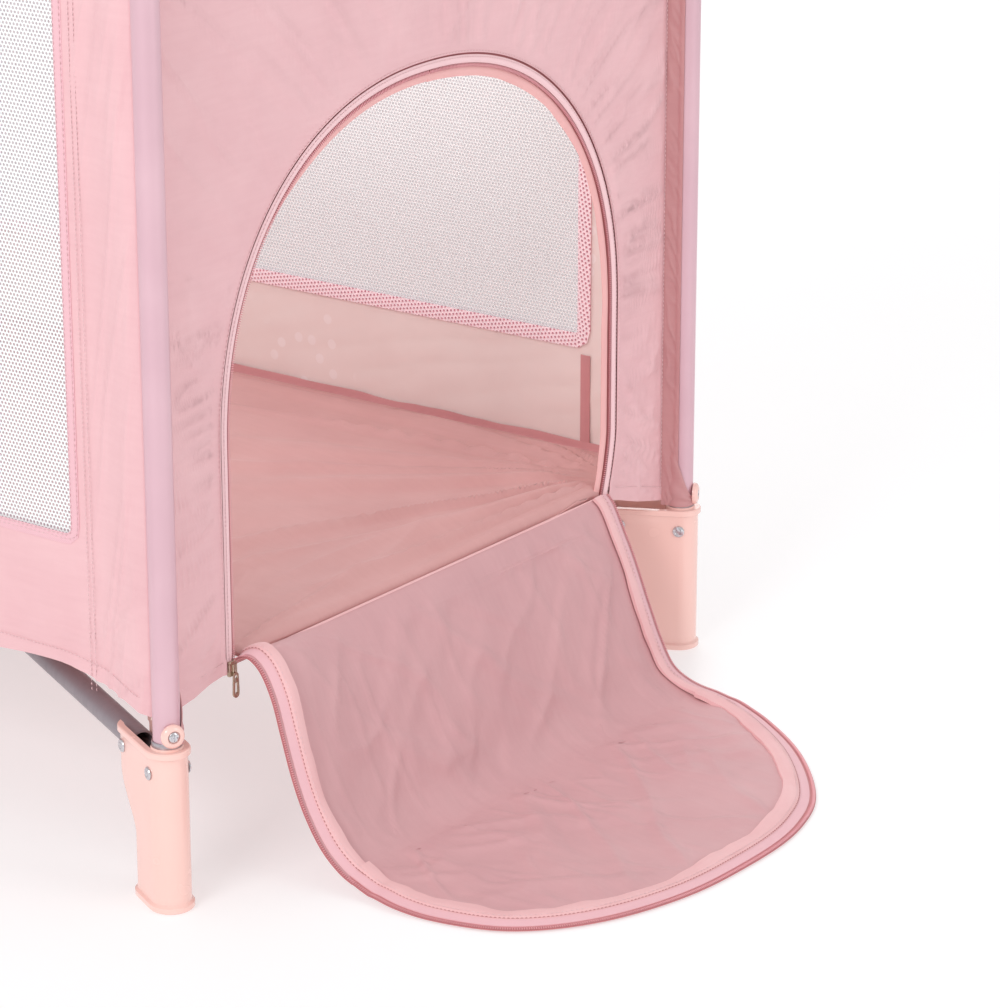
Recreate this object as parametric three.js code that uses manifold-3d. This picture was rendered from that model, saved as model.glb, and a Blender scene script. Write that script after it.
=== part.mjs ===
// Folding playpen with an arched zip door at one end.
// Millimetres, +Z up, floor at z = 0, origin on the floor under the centre hub.
// +X points to the door end, the long sides face +Y and -Y.
// The fold: every base tube and every half rail turns by one angle, and legs, hub and locks stay level.
import * as THREE from "three";
import { mergeVertices } from "three/addons/utils/BufferGeometryUtils.js";
import Module from "manifold-3d";

const wasm = await Module();
wasm.setup();

// ---- driving dimensions ----
const HALF_LENGTH = 610; // leg axis to centre, along X
const HALF_WIDTH = 310; // leg axis to centre, along Y
const HEIGHT = 760;
const TUBE_RADIUS = 9.5;
const TUBE_WALL = 1.3;
const RUNNING_GAP = 0.6;
const SIDES = 12; // facets of a round tube
const PIN_SIDES = 6;

const FOOT_REACH = 48; // leg axis to base tube pivot
const HUB_REACH = 62; // centre to base tube pivot
const PIVOT_Z = 103;
const FOOT_TOP = 117;
const FOOT_RADIUS = 14;
const FOOT_RIM = 2; // how far the rolled rims stand out
const FOOT_WAIST_REACH = 24; // centre of the narrower lower part's inner end
const LEG_BOTTOM = 89;
const LEG_TOP = 724;
const LEG_RIVET_Z = 100;
const PIN_RADIUS = 2.2;
const PIN_HEAD_RADIUS = 4.4;
const PIN_HEAD_THICKNESS = 1.6;

const RAIL_Z = 735;
const CHANNEL_HALF = TUBE_RADIUS + RUNNING_GAP; // inside half width of a fork
const CHEEK = 3.4; // fork wall thickness
const FORK_OUT = CHANNEL_HALF + CHEEK;
const EAR_RADIUS = 11;
const CAP_REACH_X = 50; // leg axis to long rail pivot
const CAP_REACH_Y = 27; // leg axis to end rail pivot
const SLEEVE_RADIUS = 14;
const SLEEVE_START = 12.5; // pivot to the end of the sleeve

const CLOTH = 4; // thickness of a cloth solid
const WALL_INSET = 12; // leg axis to the outer face of the wall
const WALL_TOP = 718;
const HEM_Z = 142;
const HEM_CORNER_Z = 123;
const FLOOR_TOP = 150;
const FLOOR_GAP = 2;

const SILL_Z = 153;
const ARCH_RADIUS = 228;
const ARCH_SPRING_Z = 302; // where the straight sides end
const FLAP_HALF_WIDTH = 223;
const FLAP_UPPER = 165; // sill to the crease where the flap meets the floor
const FLAP_HINGE_X = HALF_LENGTH - WALL_INSET + 2.6;

const BUTTON_RADIUS = 8.3;
const BUTTON_Z = 128;

// ---- the fold's geometry: both lengths below make all the angles equal ----
const DIAGONAL = Math.hypot(HALF_LENGTH, HALF_WIDTH);
const COS = HALF_LENGTH / DIAGONAL;
const SIN = HALF_WIDTH / DIAGONAL;
const BASE_LENGTH = DIAGONAL - FOOT_REACH - HUB_REACH;
const LONG_RAIL = BASE_LENGTH * COS;
const END_RAIL = BASE_LENGTH * SIN;
const LOCK_REACH_X = HALF_LENGTH - CAP_REACH_X - LONG_RAIL;
const LOCK_REACH_Y = HALF_WIDTH - CAP_REACH_Y - END_RAIL;

const CORNERS = [
  { name: "door_left", x: 1, y: -1 },
  { name: "door_right", x: 1, y: 1 },
  { name: "rear_left", x: -1, y: -1 },
  { name: "rear_right", x: -1, y: 1 },
];

// ---- materials ----
function material(color, roughness, metalness = 0) {
  return new THREE.MeshStandardMaterial({ color, roughness, metalness });
}
const FINISH = {
  legTube: () => material(0xdcc0c8, 0.38, 0.35),
  baseTube: () => material(0x6e666e, 0.45, 0.4),
  railTube: () => material(0xb9b4b8, 0.4, 0.7),
  plastic: () => material(0xedc0b2, 0.28),
  hubPlastic: () => material(0x746b72, 0.5),
  cover: () => material(0xe8bcbf, 0.62),
  floorCloth: () => material(0xcf9b96, 0.62),
  flapCloth: () => material(0xd6adb0, 0.6),
  webbing: () => material(0xc98f95, 0.8),
  zipMetal: () => material(0xb59a74, 0.3, 0.95),
};

// ---- solids ----
function solid(geometry) {
  const bare = geometry.index ? geometry.toNonIndexed() : geometry.clone();
  bare.deleteAttribute("normal");
  bare.deleteAttribute("uv");
  const merged = mergeVertices(bare, 1e-4);
  return new wasm.Manifold(
    new wasm.Mesh({
      numProp: 3,
      vertProperties: new Float32Array(merged.attributes.position.array),
      triVerts: new Uint32Array(merged.index.array),
    }),
  );
}

function geometryOf(manifold) {
  const mesh = manifold.getMesh();
  const geometry = new THREE.BufferGeometry();
  geometry.setAttribute("position", new THREE.BufferAttribute(mesh.vertProperties, 3));
  geometry.setIndex(new THREE.BufferAttribute(mesh.triVerts, 1));
  const flat = geometry.toNonIndexed();
  flat.computeVertexNormals();
  return flat;
}

function join(first, ...rest) {
  return rest.reduce((sum, next) => sum.add(next), first);
}

// The same solid turned about Z by an angle in radians, then shifted.
function placed(manifold, turn, shift = [0, 0, 0]) {
  const geometry = geometryOf(manifold);
  geometry.rotateZ(turn);
  geometry.translate(...shift);
  return solid(geometry);
}

function box(x0, x1, y0, y1, z0, z1) {
  const geometry = new THREE.BoxGeometry(x1 - x0, y1 - y0, z1 - z0);
  geometry.translate((x0 + x1) / 2, (y0 + y1) / 2, (z0 + z1) / 2);
  return solid(geometry);
}

// A cylinder of the given radius from z0 to z1 about (x, y).
function post(x, y, radius, z0, z1, topRadius = radius, sides = SIDES) {
  const geometry = new THREE.CylinderGeometry(topRadius, radius, z1 - z0, sides);
  geometry.rotateX(Math.PI / 2);
  geometry.translate(x, y, (z0 + z1) / 2);
  return solid(geometry);
}

// A cylinder along Y, centred on y = 0, about (x, z).
function crossPin(x, z, radius, halfLength) {
  const geometry = new THREE.CylinderGeometry(radius, radius, 2 * halfLength, PIN_SIDES);
  geometry.translate(x, 0, z);
  return solid(geometry);
}

// A pin along Y with a flat head on each end, outside a fork of the given half width.
function rivet(x, z, forkHalf) {
  const headIn = forkHalf + 0.4;
  const headOut = headIn + PIN_HEAD_THICKNESS;
  const heads = [-1, 1].map((side) => {
    const geometry = new THREE.CylinderGeometry(
      PIN_HEAD_RADIUS, PIN_HEAD_RADIUS, PIN_HEAD_THICKNESS, 8,
    );
    geometry.translate(x, (side * (headIn + headOut)) / 2, z);
    return solid(geometry);
  });
  return join(crossPin(x, z, PIN_RADIUS, headOut - 0.1), ...heads);
}

// A stadium in plan: a band from (x0, 0) to (x1, 0) with round ends, between z0 and z1.
function stadium(x0, x1, radius, z0, z1) {
  const shape = new THREE.Shape();
  shape.absarc(x0, 0, radius, Math.PI / 2, (3 * Math.PI) / 2, false);
  shape.absarc(x1, 0, radius, -Math.PI / 2, Math.PI / 2, false);
  const geometry = new THREE.ExtrudeGeometry(shape, {
    depth: z1 - z0, bevelEnabled: false, curveSegments: 6,
  });
  geometry.translate(0, 0, z0);
  return solid(geometry);
}

// An outline in the XZ plane, extruded along Y between y0 and y1.
function slab(shape, y0, y1, curveSegments = 5) {
  const geometry = new THREE.ExtrudeGeometry(shape, {
    depth: y1 - y0, bevelEnabled: false, curveSegments,
  });
  geometry.rotateX(Math.PI / 2);
  geometry.translate(0, y1, 0);
  return solid(geometry);
}

function polygon(points) {
  return new THREE.Shape(points.map(([a, b]) => new THREE.Vector2(a, b)));
}

const playpen = new THREE.Group();

// A mesh for one node, turned about Z and then shifted; a scale of -1 mirrors it.
function addPart(name, finish, manifold, { shift = [0, 0, 0], turn = 0, scale = [1, 1] } = {}) {
  const mesh = new THREE.Mesh(geometryOf(manifold), FINISH[finish]());
  mesh.name = name;
  mesh.position.set(...shift);
  mesh.rotation.z = turn;
  mesh.scale.set(scale[0], scale[1], 1);
  playpen.add(mesh);
}

// ---- tubes that turn on a pin at each end ----
// An open tube along +X with a riveted pin at x = 0 and at x = length. Its ends stop just past the pins.
const TUBE_END = 3;
function pinnedTube(length, radius, forkHalf) {
  const cylinder = (r, extra) => {
    const geometry = new THREE.CylinderGeometry(r, r, length + 2 * (TUBE_END + extra), SIDES);
    geometry.rotateZ(Math.PI / 2);
    geometry.translate(length / 2, 0, 0);
    return solid(geometry);
  };
  return join(
    cylinder(radius, 0).subtract(cylinder(radius - TUBE_WALL, 1)),
    rivet(0, 0, forkHalf),
    rivet(length, 0, forkHalf),
  );
}

// ---- legs, feet and corner caps ----
// The foot's own frame: leg axis at the origin, +X towards the hub.
function footBracket() {
  const cutTop = 86;
  const cutBottom = 46;
  const waistEnd = FOOT_WAIST_REACH + FOOT_RADIUS;
  const innerEnd = FOOT_REACH + FOOT_RADIUS;
  const profile = new THREE.Shape();
  profile.moveTo(0, cutBottom);
  profile.lineTo(waistEnd - 6, cutBottom);
  profile.bezierCurveTo(waistEnd + 4, cutBottom + 14, innerEnd, cutTop - 22, innerEnd, cutTop);
  profile.lineTo(innerEnd, FOOT_TOP);
  profile.lineTo(0, FOOT_TOP);
  profile.closePath();
  const head = stadium(0, FOOT_REACH, FOOT_RADIUS, 0, FOOT_TOP).intersect(
    slab(profile, -FOOT_RADIUS - 1, FOOT_RADIUS + 1, 4),
  );
  const shell = join(
    stadium(0, FOOT_WAIST_REACH, FOOT_RADIUS, 0, FOOT_TOP),
    head,
    stadium(0, FOOT_WAIST_REACH, FOOT_RADIUS + FOOT_RIM, 0, 5),
    stadium(0, FOOT_REACH, FOOT_RADIUS + FOOT_RIM, FOOT_TOP - 4, FOOT_TOP),
  );
  const wall = 3;
  const pocket = stadium(0, FOOT_REACH, FOOT_RADIUS - wall, LEG_BOTTOM - 1, FOOT_TOP + 1);
  const mouth = box(
    FOOT_REACH, innerEnd + FOOT_RIM + 1,
    -CHANNEL_HALF, CHANNEL_HALF,
    PIVOT_Z - CHANNEL_HALF - 2, FOOT_TOP + 1,
  );
  return shell
    .subtract(pocket)
    .subtract(mouth)
    .subtract(crossPin(0, LEG_RIVET_Z, PIN_RADIUS + 0.4, FOOT_RADIUS + 3))
    .subtract(crossPin(FOOT_REACH, PIVOT_Z, PIN_RADIUS + 0.4, FOOT_RADIUS + 3));
}

function legTube() {
  const tube = post(0, 0, TUBE_RADIUS, LEG_BOTTOM, LEG_TOP).subtract(
    post(0, 0, TUBE_RADIUS - TUBE_WALL, LEG_BOTTOM - 1, LEG_TOP + 1),
  );
  return tube.add(rivet(0, LEG_RIVET_Z, FOOT_RADIUS));
}

// A disc with a domed face towards -X that pins the cover's corner to the leg.
function cornerButton() {
  const back = -(TUBE_RADIUS + 0.4);
  const profile = [
    [0, 0], [BUTTON_RADIUS, 0], [BUTTON_RADIUS, 2.4], [BUTTON_RADIUS - 1.4, 3.8], [3.4, 4.2],
    [3.2, 3.2], [0, 3.2],
  ].map(([r, h]) => new THREE.Vector2(r, h));
  const geometry = new THREE.LatheGeometry(profile, 14);
  geometry.rotateZ(Math.PI / 2);
  geometry.translate(back, 0, BUTTON_Z);
  return solid(geometry);
}

// ---- forks: a rail turns on its pin between two cheeks, under a web ----
const WEB_Z = RAIL_Z + CHANNEL_HALF;

// A solid bar with a round ear at the pivot, along +X from the axis.
function forkBar(reach) {
  const top = WEB_Z + CHEEK;
  const back = -1; // just past the axis, so that two bars back to back join
  const outline = new THREE.Shape();
  outline.moveTo(back, RAIL_Z - EAR_RADIUS);
  outline.absarc(reach, RAIL_Z, EAR_RADIUS, -Math.PI / 2, 0, false);
  outline.lineTo(reach + EAR_RADIUS, top - 4);
  outline.lineTo(reach + EAR_RADIUS - 4, top);
  outline.lineTo(back, top);
  outline.closePath();
  return slab(outline, -FORK_OUT, FORK_OUT);
}

// What is cut from a fork bar: the rail's channel from x = start, and the pin's hole.
function forkCut(start, reach) {
  return join(
    box(start, reach + EAR_RADIUS + 2, -CHANNEL_HALF, CHANNEL_HALF, RAIL_Z - EAR_RADIUS - 2, WEB_Z),
    crossPin(reach, RAIL_Z, PIN_RADIUS + 0.4, FORK_OUT + 1),
  );
}

// The cap's own frame: leg axis at the origin, the long rail towards +X and the end rail towards +Y.
function cornerCap() {
  const capRadius = 14;
  const seat = RAIL_Z - 37;
  const channelStart = capRadius + 2;
  const profile = [
    [0, seat], [capRadius, seat], [capRadius, HEIGHT - 9], [capRadius - 2, HEIGHT - 3],
    [capRadius - 6, HEIGHT - 0.6], [0, HEIGHT],
  ].map(([r, z]) => new THREE.Vector2(r, z));
  const crown = new THREE.LatheGeometry(profile, 16);
  crown.rotateX(Math.PI / 2);
  return join(solid(crown), forkBar(CAP_REACH_X), placed(forkBar(CAP_REACH_Y), Math.PI / 2))
    .subtract(forkCut(channelStart, CAP_REACH_X))
    .subtract(placed(forkCut(channelStart, CAP_REACH_Y), Math.PI / 2))
    .subtract(post(0, 0, TUBE_RADIUS + 0.35, seat - 1, LEG_TOP + 1));
}

// ---- the rail lock: both half rails rise from one trough, with a button in its middle ----
// It is the cap's fork upside down, because at the lock a rail swings up.
const WELL_RADIUS = 7.4;
function railLock(reach) {
  const bar = forkBar(reach);
  const cut = forkCut(WELL_RADIUS + 3, reach);
  const upright = join(bar, placed(bar, Math.PI))
    .subtract(cut)
    .subtract(placed(cut, Math.PI));
  const geometry = geometryOf(upright);
  geometry.translate(0, 0, -RAIL_Z);
  geometry.rotateX(Math.PI);
  geometry.translate(0, 0, RAIL_Z);
  return solid(geometry).subtract(post(0, 0, WELL_RADIUS, RAIL_Z - 20, RAIL_Z + 20));
}

// The button stands in the lock's well and travels down.
function releaseButton() {
  const profile = [
    [0, RAIL_Z - 4], [6.8, RAIL_Z - 4], [6.8, RAIL_Z + 13.5], [5.6, RAIL_Z + 15], [0, RAIL_Z + 15.4],
  ].map(([r, z]) => new THREE.Vector2(r, z));
  const geometry = new THREE.LatheGeometry(profile, 14);
  geometry.rotateX(Math.PI / 2);
  return solid(geometry);
}

// A padded sleeve round a half rail, along +X from the rail's pivot.
function railSleeve(length) {
  const sleeve = new THREE.Shape();
  sleeve.absarc(0, 0, SLEEVE_RADIUS, 0, 2 * Math.PI, false);
  const bore = new THREE.Path();
  bore.absarc(0, 0, TUBE_RADIUS + 0.8, 0, 2 * Math.PI, true);
  sleeve.holes.push(bore);
  const geometry = new THREE.ExtrudeGeometry(sleeve, {
    depth: length - 2 * SLEEVE_START, bevelEnabled: false, curveSegments: 6,
  });
  geometry.rotateY(Math.PI / 2);
  geometry.translate(SLEEVE_START, 0, 0);
  return solid(geometry);
}

// ---- the centre hub ----
const HUB_TOP = 122;
function hubBody() {
  const hubRadius = 72;
  const postRadius = 24;
  const under = PIVOT_Z - 11;
  const channelStart = HUB_REACH - 14;
  const turns = CORNERS.map((corner) => Math.atan2(corner.y * SIN, corner.x * COS));
  const block = box(0, HUB_REACH + 9, -FORK_OUT, FORK_OUT, under, HUB_TOP - 3);
  const channel = join(
    box(channelStart, hubRadius + 8, -CHANNEL_HALF, CHANNEL_HALF, under - 1, HUB_TOP - 8),
    crossPin(HUB_REACH, PIVOT_Z, PIN_RADIUS + 0.4, FORK_OUT + 1),
  );
  const whole = join(
    post(0, 0, hubRadius, HUB_TOP - 7, HUB_TOP, hubRadius - 3, 20),
    post(0, 0, postRadius, 78, HUB_TOP - 2),
    ...turns.map((turn) => placed(block, turn)),
  );
  return turns.reduce((rest, turn) => rest.subtract(placed(channel, turn)), whole);
}

function hubFoot() {
  const profile = [
    [0, 0], [30, 0], [30, 5], [22, 14], [19, 40], [19, 77.6], [0, 77.6],
  ].map(([r, z]) => new THREE.Vector2(r, z));
  const geometry = new THREE.LatheGeometry(profile, 16);
  geometry.rotateX(Math.PI / 2);
  return solid(geometry);
}

function hubCap() {
  const base = HUB_TOP + 0.3;
  const profile = [
    [0, base], [46, base], [46, base + 2.5], [40, base + 6], [20, base + 8], [0, base + 8.4],
  ].map(([r, z]) => new THREE.Vector2(r, z));
  const geometry = new THREE.LatheGeometry(profile, 16);
  geometry.rotateX(Math.PI / 2);
  return solid(geometry);
}

// Webbing: a stem up through the slit in the floor cloth, then flat on the cloth.
function pullStrap() {
  const half = 13;
  const thick = 2.4;
  const foot = HUB_TOP + 9;
  const lie = FLOOR_TOP + 0.6;
  const end = 95;
  const outline = polygon([
    [-thick / 2, foot], [thick / 2, foot], [thick / 2, lie], [end, lie], [end, lie + thick],
    [-thick / 2, lie + thick],
  ]);
  return slab(outline, -half, half);
}

// ---- cloth ----
const WALL_X = HALF_LENGTH - WALL_INSET; // outer face of an end
const WALL_Y = HALF_WIDTH - WALL_INSET; // outer face of a long side

// Half of one side of the cover, from the centre line at x = 0 to a corner, with y from -CLOTH to 0.
function wallArm(corner) {
  const middle = 0.5;
  const drop = 70;
  return slab(
    polygon([
      [middle, HEM_Z], [corner - drop, HEM_Z], [corner, HEM_CORNER_Z], [corner, WALL_TOP],
      [middle, WALL_TOP],
    ]),
    -CLOTH, 0,
  );
}

// The hole in the door end: straight sides up from the sill, then a half circle.
function archCutter() {
  const outline = new THREE.Shape();
  outline.moveTo(-ARCH_RADIUS, SILL_Z - 3);
  outline.lineTo(ARCH_RADIUS, SILL_Z - 3);
  outline.lineTo(ARCH_RADIUS, ARCH_SPRING_Z);
  outline.absarc(0, ARCH_SPRING_Z, ARCH_RADIUS, 0, Math.PI, false);
  outline.closePath();
  return slab(outline, -CLOTH - 2, 2, 28);
}

// The cover round one corner: half a long side and half an end, in the first quadrant.
function coverCorner(hasDoor) {
  const end = hasDoor ? wallArm(WALL_Y).subtract(archCutter()) : wallArm(WALL_Y);
  return join(
    placed(wallArm(WALL_X), 0, [0, WALL_Y, 0]),
    placed(end, Math.PI / 2, [WALL_X - CLOTH, 0, 0]),
  );
}

// A quarter of the floor cloth in the first quadrant, with half of the strap's slit.
function floorQuadrant() {
  const edge = 0.5;
  const x1 = WALL_X - CLOTH - FLOOR_GAP;
  const y1 = WALL_Y - CLOTH - FLOOR_GAP;
  const slitHalf = 15;
  const slitSide = 2.5;
  const geometry = new THREE.ExtrudeGeometry(
    polygon([
      [slitSide, edge], [x1, edge], [x1, y1], [edge, y1], [edge, slitHalf], [slitSide, slitHalf],
    ]),
    { depth: CLOTH, bevelEnabled: false },
  );
  geometry.translate(0, 0, FLOOR_TOP - CLOTH);
  return solid(geometry);
}

// ---- the door flap, open: it hangs from the sill and lies on the floor ----
const FLAP_Z = CLOTH / 2 + 0.5; // middle of the part that lies down
const FLAP_DROP = SILL_Z - FLAP_Z;
const FLAP_CREASE_X = FLAP_HINGE_X + Math.sqrt(FLAP_UPPER ** 2 - FLAP_DROP ** 2);
const CREASE_GAP = 3;

function flapUpper() {
  const along = new THREE.Vector2(FLAP_CREASE_X - FLAP_HINGE_X, -FLAP_DROP).normalize();
  const across = new THREE.Vector2(-along.y, along.x);
  const corner = (s, t) => [
    FLAP_HINGE_X + s * along.x + t * across.x,
    SILL_Z + s * along.y + t * across.y,
  ];
  const half = CLOTH / 2;
  const last = FLAP_UPPER - CREASE_GAP;
  const outline = polygon([
    corner(CREASE_GAP, -half), corner(last, -half), corner(last, half), corner(CREASE_GAP, half),
  ]);
  return slab(outline, -FLAP_HALF_WIDTH, FLAP_HALF_WIDTH);
}

function flapLower() {
  const centreX = FLAP_CREASE_X - (FLAP_UPPER - (ARCH_SPRING_Z - SILL_Z));
  const startX = FLAP_CREASE_X + CREASE_GAP;
  const half = Math.acos((startX - centreX) / FLAP_HALF_WIDTH);
  const outline = new THREE.Shape();
  outline.absarc(centreX, 0, FLAP_HALF_WIDTH, -half, half, false);
  outline.closePath();
  const geometry = new THREE.ExtrudeGeometry(outline, {
    depth: CLOTH, bevelEnabled: false, curveSegments: 24,
  });
  geometry.translate(0, 0, FLAP_Z - CLOTH / 2);
  return solid(geometry);
}

// ---- the zip's slider, parked at the sill, and its pull ----
const SLIDER_Y = -ARCH_RADIUS - 1.5;
const PULL_X = WALL_X + 5.2;
const PULL_Z = 143;

function zipSlider() {
  const back = WALL_X + 0.4;
  const front = back + 3;
  const bridge = front + 0.9; // just clear of the pull as it swings
  return join(
    box(back, front, SLIDER_Y - 4, SLIDER_Y + 4, PULL_Z - 3, PULL_Z + 8),
    box(front - 0.2, bridge, SLIDER_Y - 1.2, SLIDER_Y + 1.2, PULL_Z - 2, PULL_Z + 6),
  );
}

function zipPull() {
  const half = 2.6;
  const drop = 17;
  const outline = new THREE.Shape();
  outline.absarc(0, 0.4 - half, half, 0, Math.PI, false);
  outline.lineTo(-half - 0.4, 2 - drop);
  outline.lineTo(half + 0.4, 2 - drop);
  outline.closePath();
  const slot = new THREE.Path();
  slot.absarc(0, 4 - drop, 1.2, 0, 2 * Math.PI, true);
  outline.holes.push(slot);
  return placed(slab(outline, -0.6, 0.6, 6), Math.PI / 2, [PULL_X, SLIDER_Y, PULL_Z]);
}

// ---- assembly ----
for (const corner of CORNERS) {
  const { name, x, y } = corner;
  const legX = x * HALF_LENGTH;
  const legY = y * HALF_WIDTH;
  const inward = Math.atan2(-y * SIN, -x * COS);
  const atLeg = { shift: [legX, legY, 0], turn: inward };
  addPart(`leg_tube_${name}`, "legTube", legTube(), atLeg);
  addPart(`foot_bracket_${name}`, "plastic", footBracket(), atLeg);
  addPart(`corner_button_${name}`, "plastic", cornerButton(), atLeg);
  addPart(`corner_cap_${name}`, "plastic", cornerCap(), {
    shift: [legX, legY, 0], scale: [-x, -y],
  });
  addPart(`base_tube_${name}`, "baseTube", pinnedTube(BASE_LENGTH, TUBE_RADIUS - 0.5, FOOT_RADIUS), {
    shift: [legX - x * COS * FOOT_REACH, legY - y * SIN * FOOT_REACH, PIVOT_Z], turn: inward,
  });
  addPart(`cover_${name}`, "cover", coverCorner(x > 0), { scale: [x, y] });
  addPart(`floor_cloth_${name}`, "floorCloth", floorQuadrant(), { scale: [x, y] });

  const longPivot = { shift: [legX - x * CAP_REACH_X, legY, RAIL_Z], turn: x > 0 ? Math.PI : 0 };
  addPart(`long_rail_${name}`, "railTube", pinnedTube(LONG_RAIL, TUBE_RADIUS, FORK_OUT), longPivot);
  addPart(`long_sleeve_${name}`, "cover", railSleeve(LONG_RAIL), longPivot);
  const endPivot = { shift: [legX, legY - y * CAP_REACH_Y, RAIL_Z], turn: (-y * Math.PI) / 2 };
  addPart(`end_rail_${name}`, "railTube", pinnedTube(END_RAIL, TUBE_RADIUS, FORK_OUT), endPivot);
  addPart(`end_sleeve_${name}`, "cover", railSleeve(END_RAIL), endPivot);
}

const LOCKS = [
  { name: "left", shift: [0, -HALF_WIDTH, 0], turn: 0, reach: LOCK_REACH_X },
  { name: "right", shift: [0, HALF_WIDTH, 0], turn: 0, reach: LOCK_REACH_X },
  { name: "door_end", shift: [HALF_LENGTH, 0, 0], turn: Math.PI / 2, reach: LOCK_REACH_Y },
  { name: "rear_end", shift: [-HALF_LENGTH, 0, 0], turn: Math.PI / 2, reach: LOCK_REACH_Y },
];
for (const { name, reach, ...place } of LOCKS) {
  addPart(`rail_lock_${name}`, "plastic", railLock(reach), place);
  addPart(`lock_button_${name}`, "hubPlastic", releaseButton(), place);
}

addPart("hub_body", "hubPlastic", hubBody());
addPart("hub_foot", "hubPlastic", hubFoot());
addPart("hub_cap", "plastic", hubCap());
addPart("pull_strap", "webbing", pullStrap());
addPart("door_flap_upper", "flapCloth", flapUpper());
addPart("door_flap_lower", "flapCloth", flapLower());
addPart("zip_slider", "zipMetal", zipSlider());
addPart("zip_pull", "zipMetal", zipPull());

export default playpen;
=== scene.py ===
"""Looks of the folding playpen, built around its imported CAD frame. Metres, +Z up, door end at +X."""

import math

import bmesh
import bpy
import numpy as np
from mathutils import Matrix, Vector


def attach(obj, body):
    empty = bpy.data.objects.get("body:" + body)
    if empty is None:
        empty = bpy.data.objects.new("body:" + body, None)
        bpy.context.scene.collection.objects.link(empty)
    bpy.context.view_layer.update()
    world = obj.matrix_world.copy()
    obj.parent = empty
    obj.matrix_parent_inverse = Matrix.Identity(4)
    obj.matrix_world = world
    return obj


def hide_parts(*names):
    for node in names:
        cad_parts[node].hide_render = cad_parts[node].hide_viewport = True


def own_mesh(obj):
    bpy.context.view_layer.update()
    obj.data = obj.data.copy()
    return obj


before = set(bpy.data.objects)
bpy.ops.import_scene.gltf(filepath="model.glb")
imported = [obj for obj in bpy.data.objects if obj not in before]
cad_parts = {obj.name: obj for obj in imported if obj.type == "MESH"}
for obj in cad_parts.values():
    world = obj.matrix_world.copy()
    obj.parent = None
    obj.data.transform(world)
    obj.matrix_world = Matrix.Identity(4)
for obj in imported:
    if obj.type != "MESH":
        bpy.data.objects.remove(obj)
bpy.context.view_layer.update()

# ---- driving dimensions, as in the CAD ----
HALF_LENGTH, HALF_WIDTH, HEIGHT = 0.610, 0.310, 0.760
TUBE_RADIUS = 0.0095
FOOT_REACH, HUB_REACH = 0.048, 0.062
PIVOT_Z, FOOT_TOP = 0.103, 0.117
FOOT_RADIUS, FOOT_RIM = 0.014, 0.002
LEG_BOTTOM, LEG_TOP, LEG_RIVET_Z = 0.089, 0.724, 0.100
RAIL_Z = 0.735
CHANNEL_HALF, CHEEK, EAR_RADIUS = 0.0101, 0.0034, 0.011
FORK_OUT = CHANNEL_HALF + CHEEK
CAP_REACH_X, CAP_REACH_Y = 0.050, 0.027
SLEEVE_START = 0.0125
WALL_X, WALL_Y = 0.598, 0.298
HEM_LONG, HEM_DROP_LONG = 0.1495, 0.0150
HEM_END, HEM_DROP_END = 0.1425, 0.0165
DOOR_DROP = {-1: 0.0105, 1: 0.0225}  # how far the door end's hem falls at each corner
FLOOR_TOP = 0.150
BUTTON_Z = 0.128
DIAGONAL = math.hypot(HALF_LENGTH, HALF_WIDTH)
COS, SIN = HALF_LENGTH / DIAGONAL, HALF_WIDTH / DIAGONAL
BASE_LENGTH = DIAGONAL - FOOT_REACH - HUB_REACH
LONG_RAIL, END_RAIL = BASE_LENGTH * COS, BASE_LENGTH * SIN
LOCK_REACH_X = HALF_LENGTH - CAP_REACH_X - LONG_RAIL
LOCK_REACH_Y = HALF_WIDTH - CAP_REACH_Y - END_RAIL
KEEP_LONG, KEEP_END, KEEP_FLOOR, KEEP_FLAP = 0.29, 0.29, 0.04, 0.27
UV = "cloth"

CORNERS = {
    "door_left": (1, -1),
    "door_right": (1, 1),
    "rear_left": (-1, -1),
    "rear_right": (-1, 1),
}
LOCKS = {
    "left": ((0, -HALF_WIDTH), 0, LOCK_REACH_X),
    "right": ((0, HALF_WIDTH), 0, LOCK_REACH_X),
    "door_end": ((HALF_LENGTH, 0), math.pi / 2, LOCK_REACH_Y),
    "rear_end": ((-HALF_LENGTH, 0), math.pi / 2, LOCK_REACH_Y),
}


# ---- camera, light and floor ----
def add_camera():
    azimuth, elevation = math.radians(36.27), math.radians(18.83)
    back = Vector((
        math.sin(azimuth) * math.cos(elevation),
        -math.cos(azimuth) * math.cos(elevation),
        math.sin(elevation),
    ))
    camera = bpy.data.objects.new("camera", bpy.data.cameras.new("camera"))
    bpy.context.scene.collection.objects.link(camera)
    camera.data.sensor_width = 36
    camera.data.lens = 138.2
    camera.data.clip_start, camera.data.clip_end = 0.05, 40
    camera.location = (2.213, -2.117, 1.109)
    camera.rotation_euler = back.to_track_quat("Z", "Y").to_euler()
    bpy.context.scene.camera = camera


def area_light(name, place, target, size, power):
    light = bpy.data.lights.new(name, "AREA")
    light.shape = "RECTANGLE"
    light.size, light.size_y = size
    light.energy = power
    lamp = bpy.data.objects.new(name, light)
    bpy.context.scene.collection.objects.link(lamp)
    lamp.location = place
    lamp.rotation_euler = (Vector(place) - Vector(target)).to_track_quat("Z", "Y").to_euler()


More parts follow.
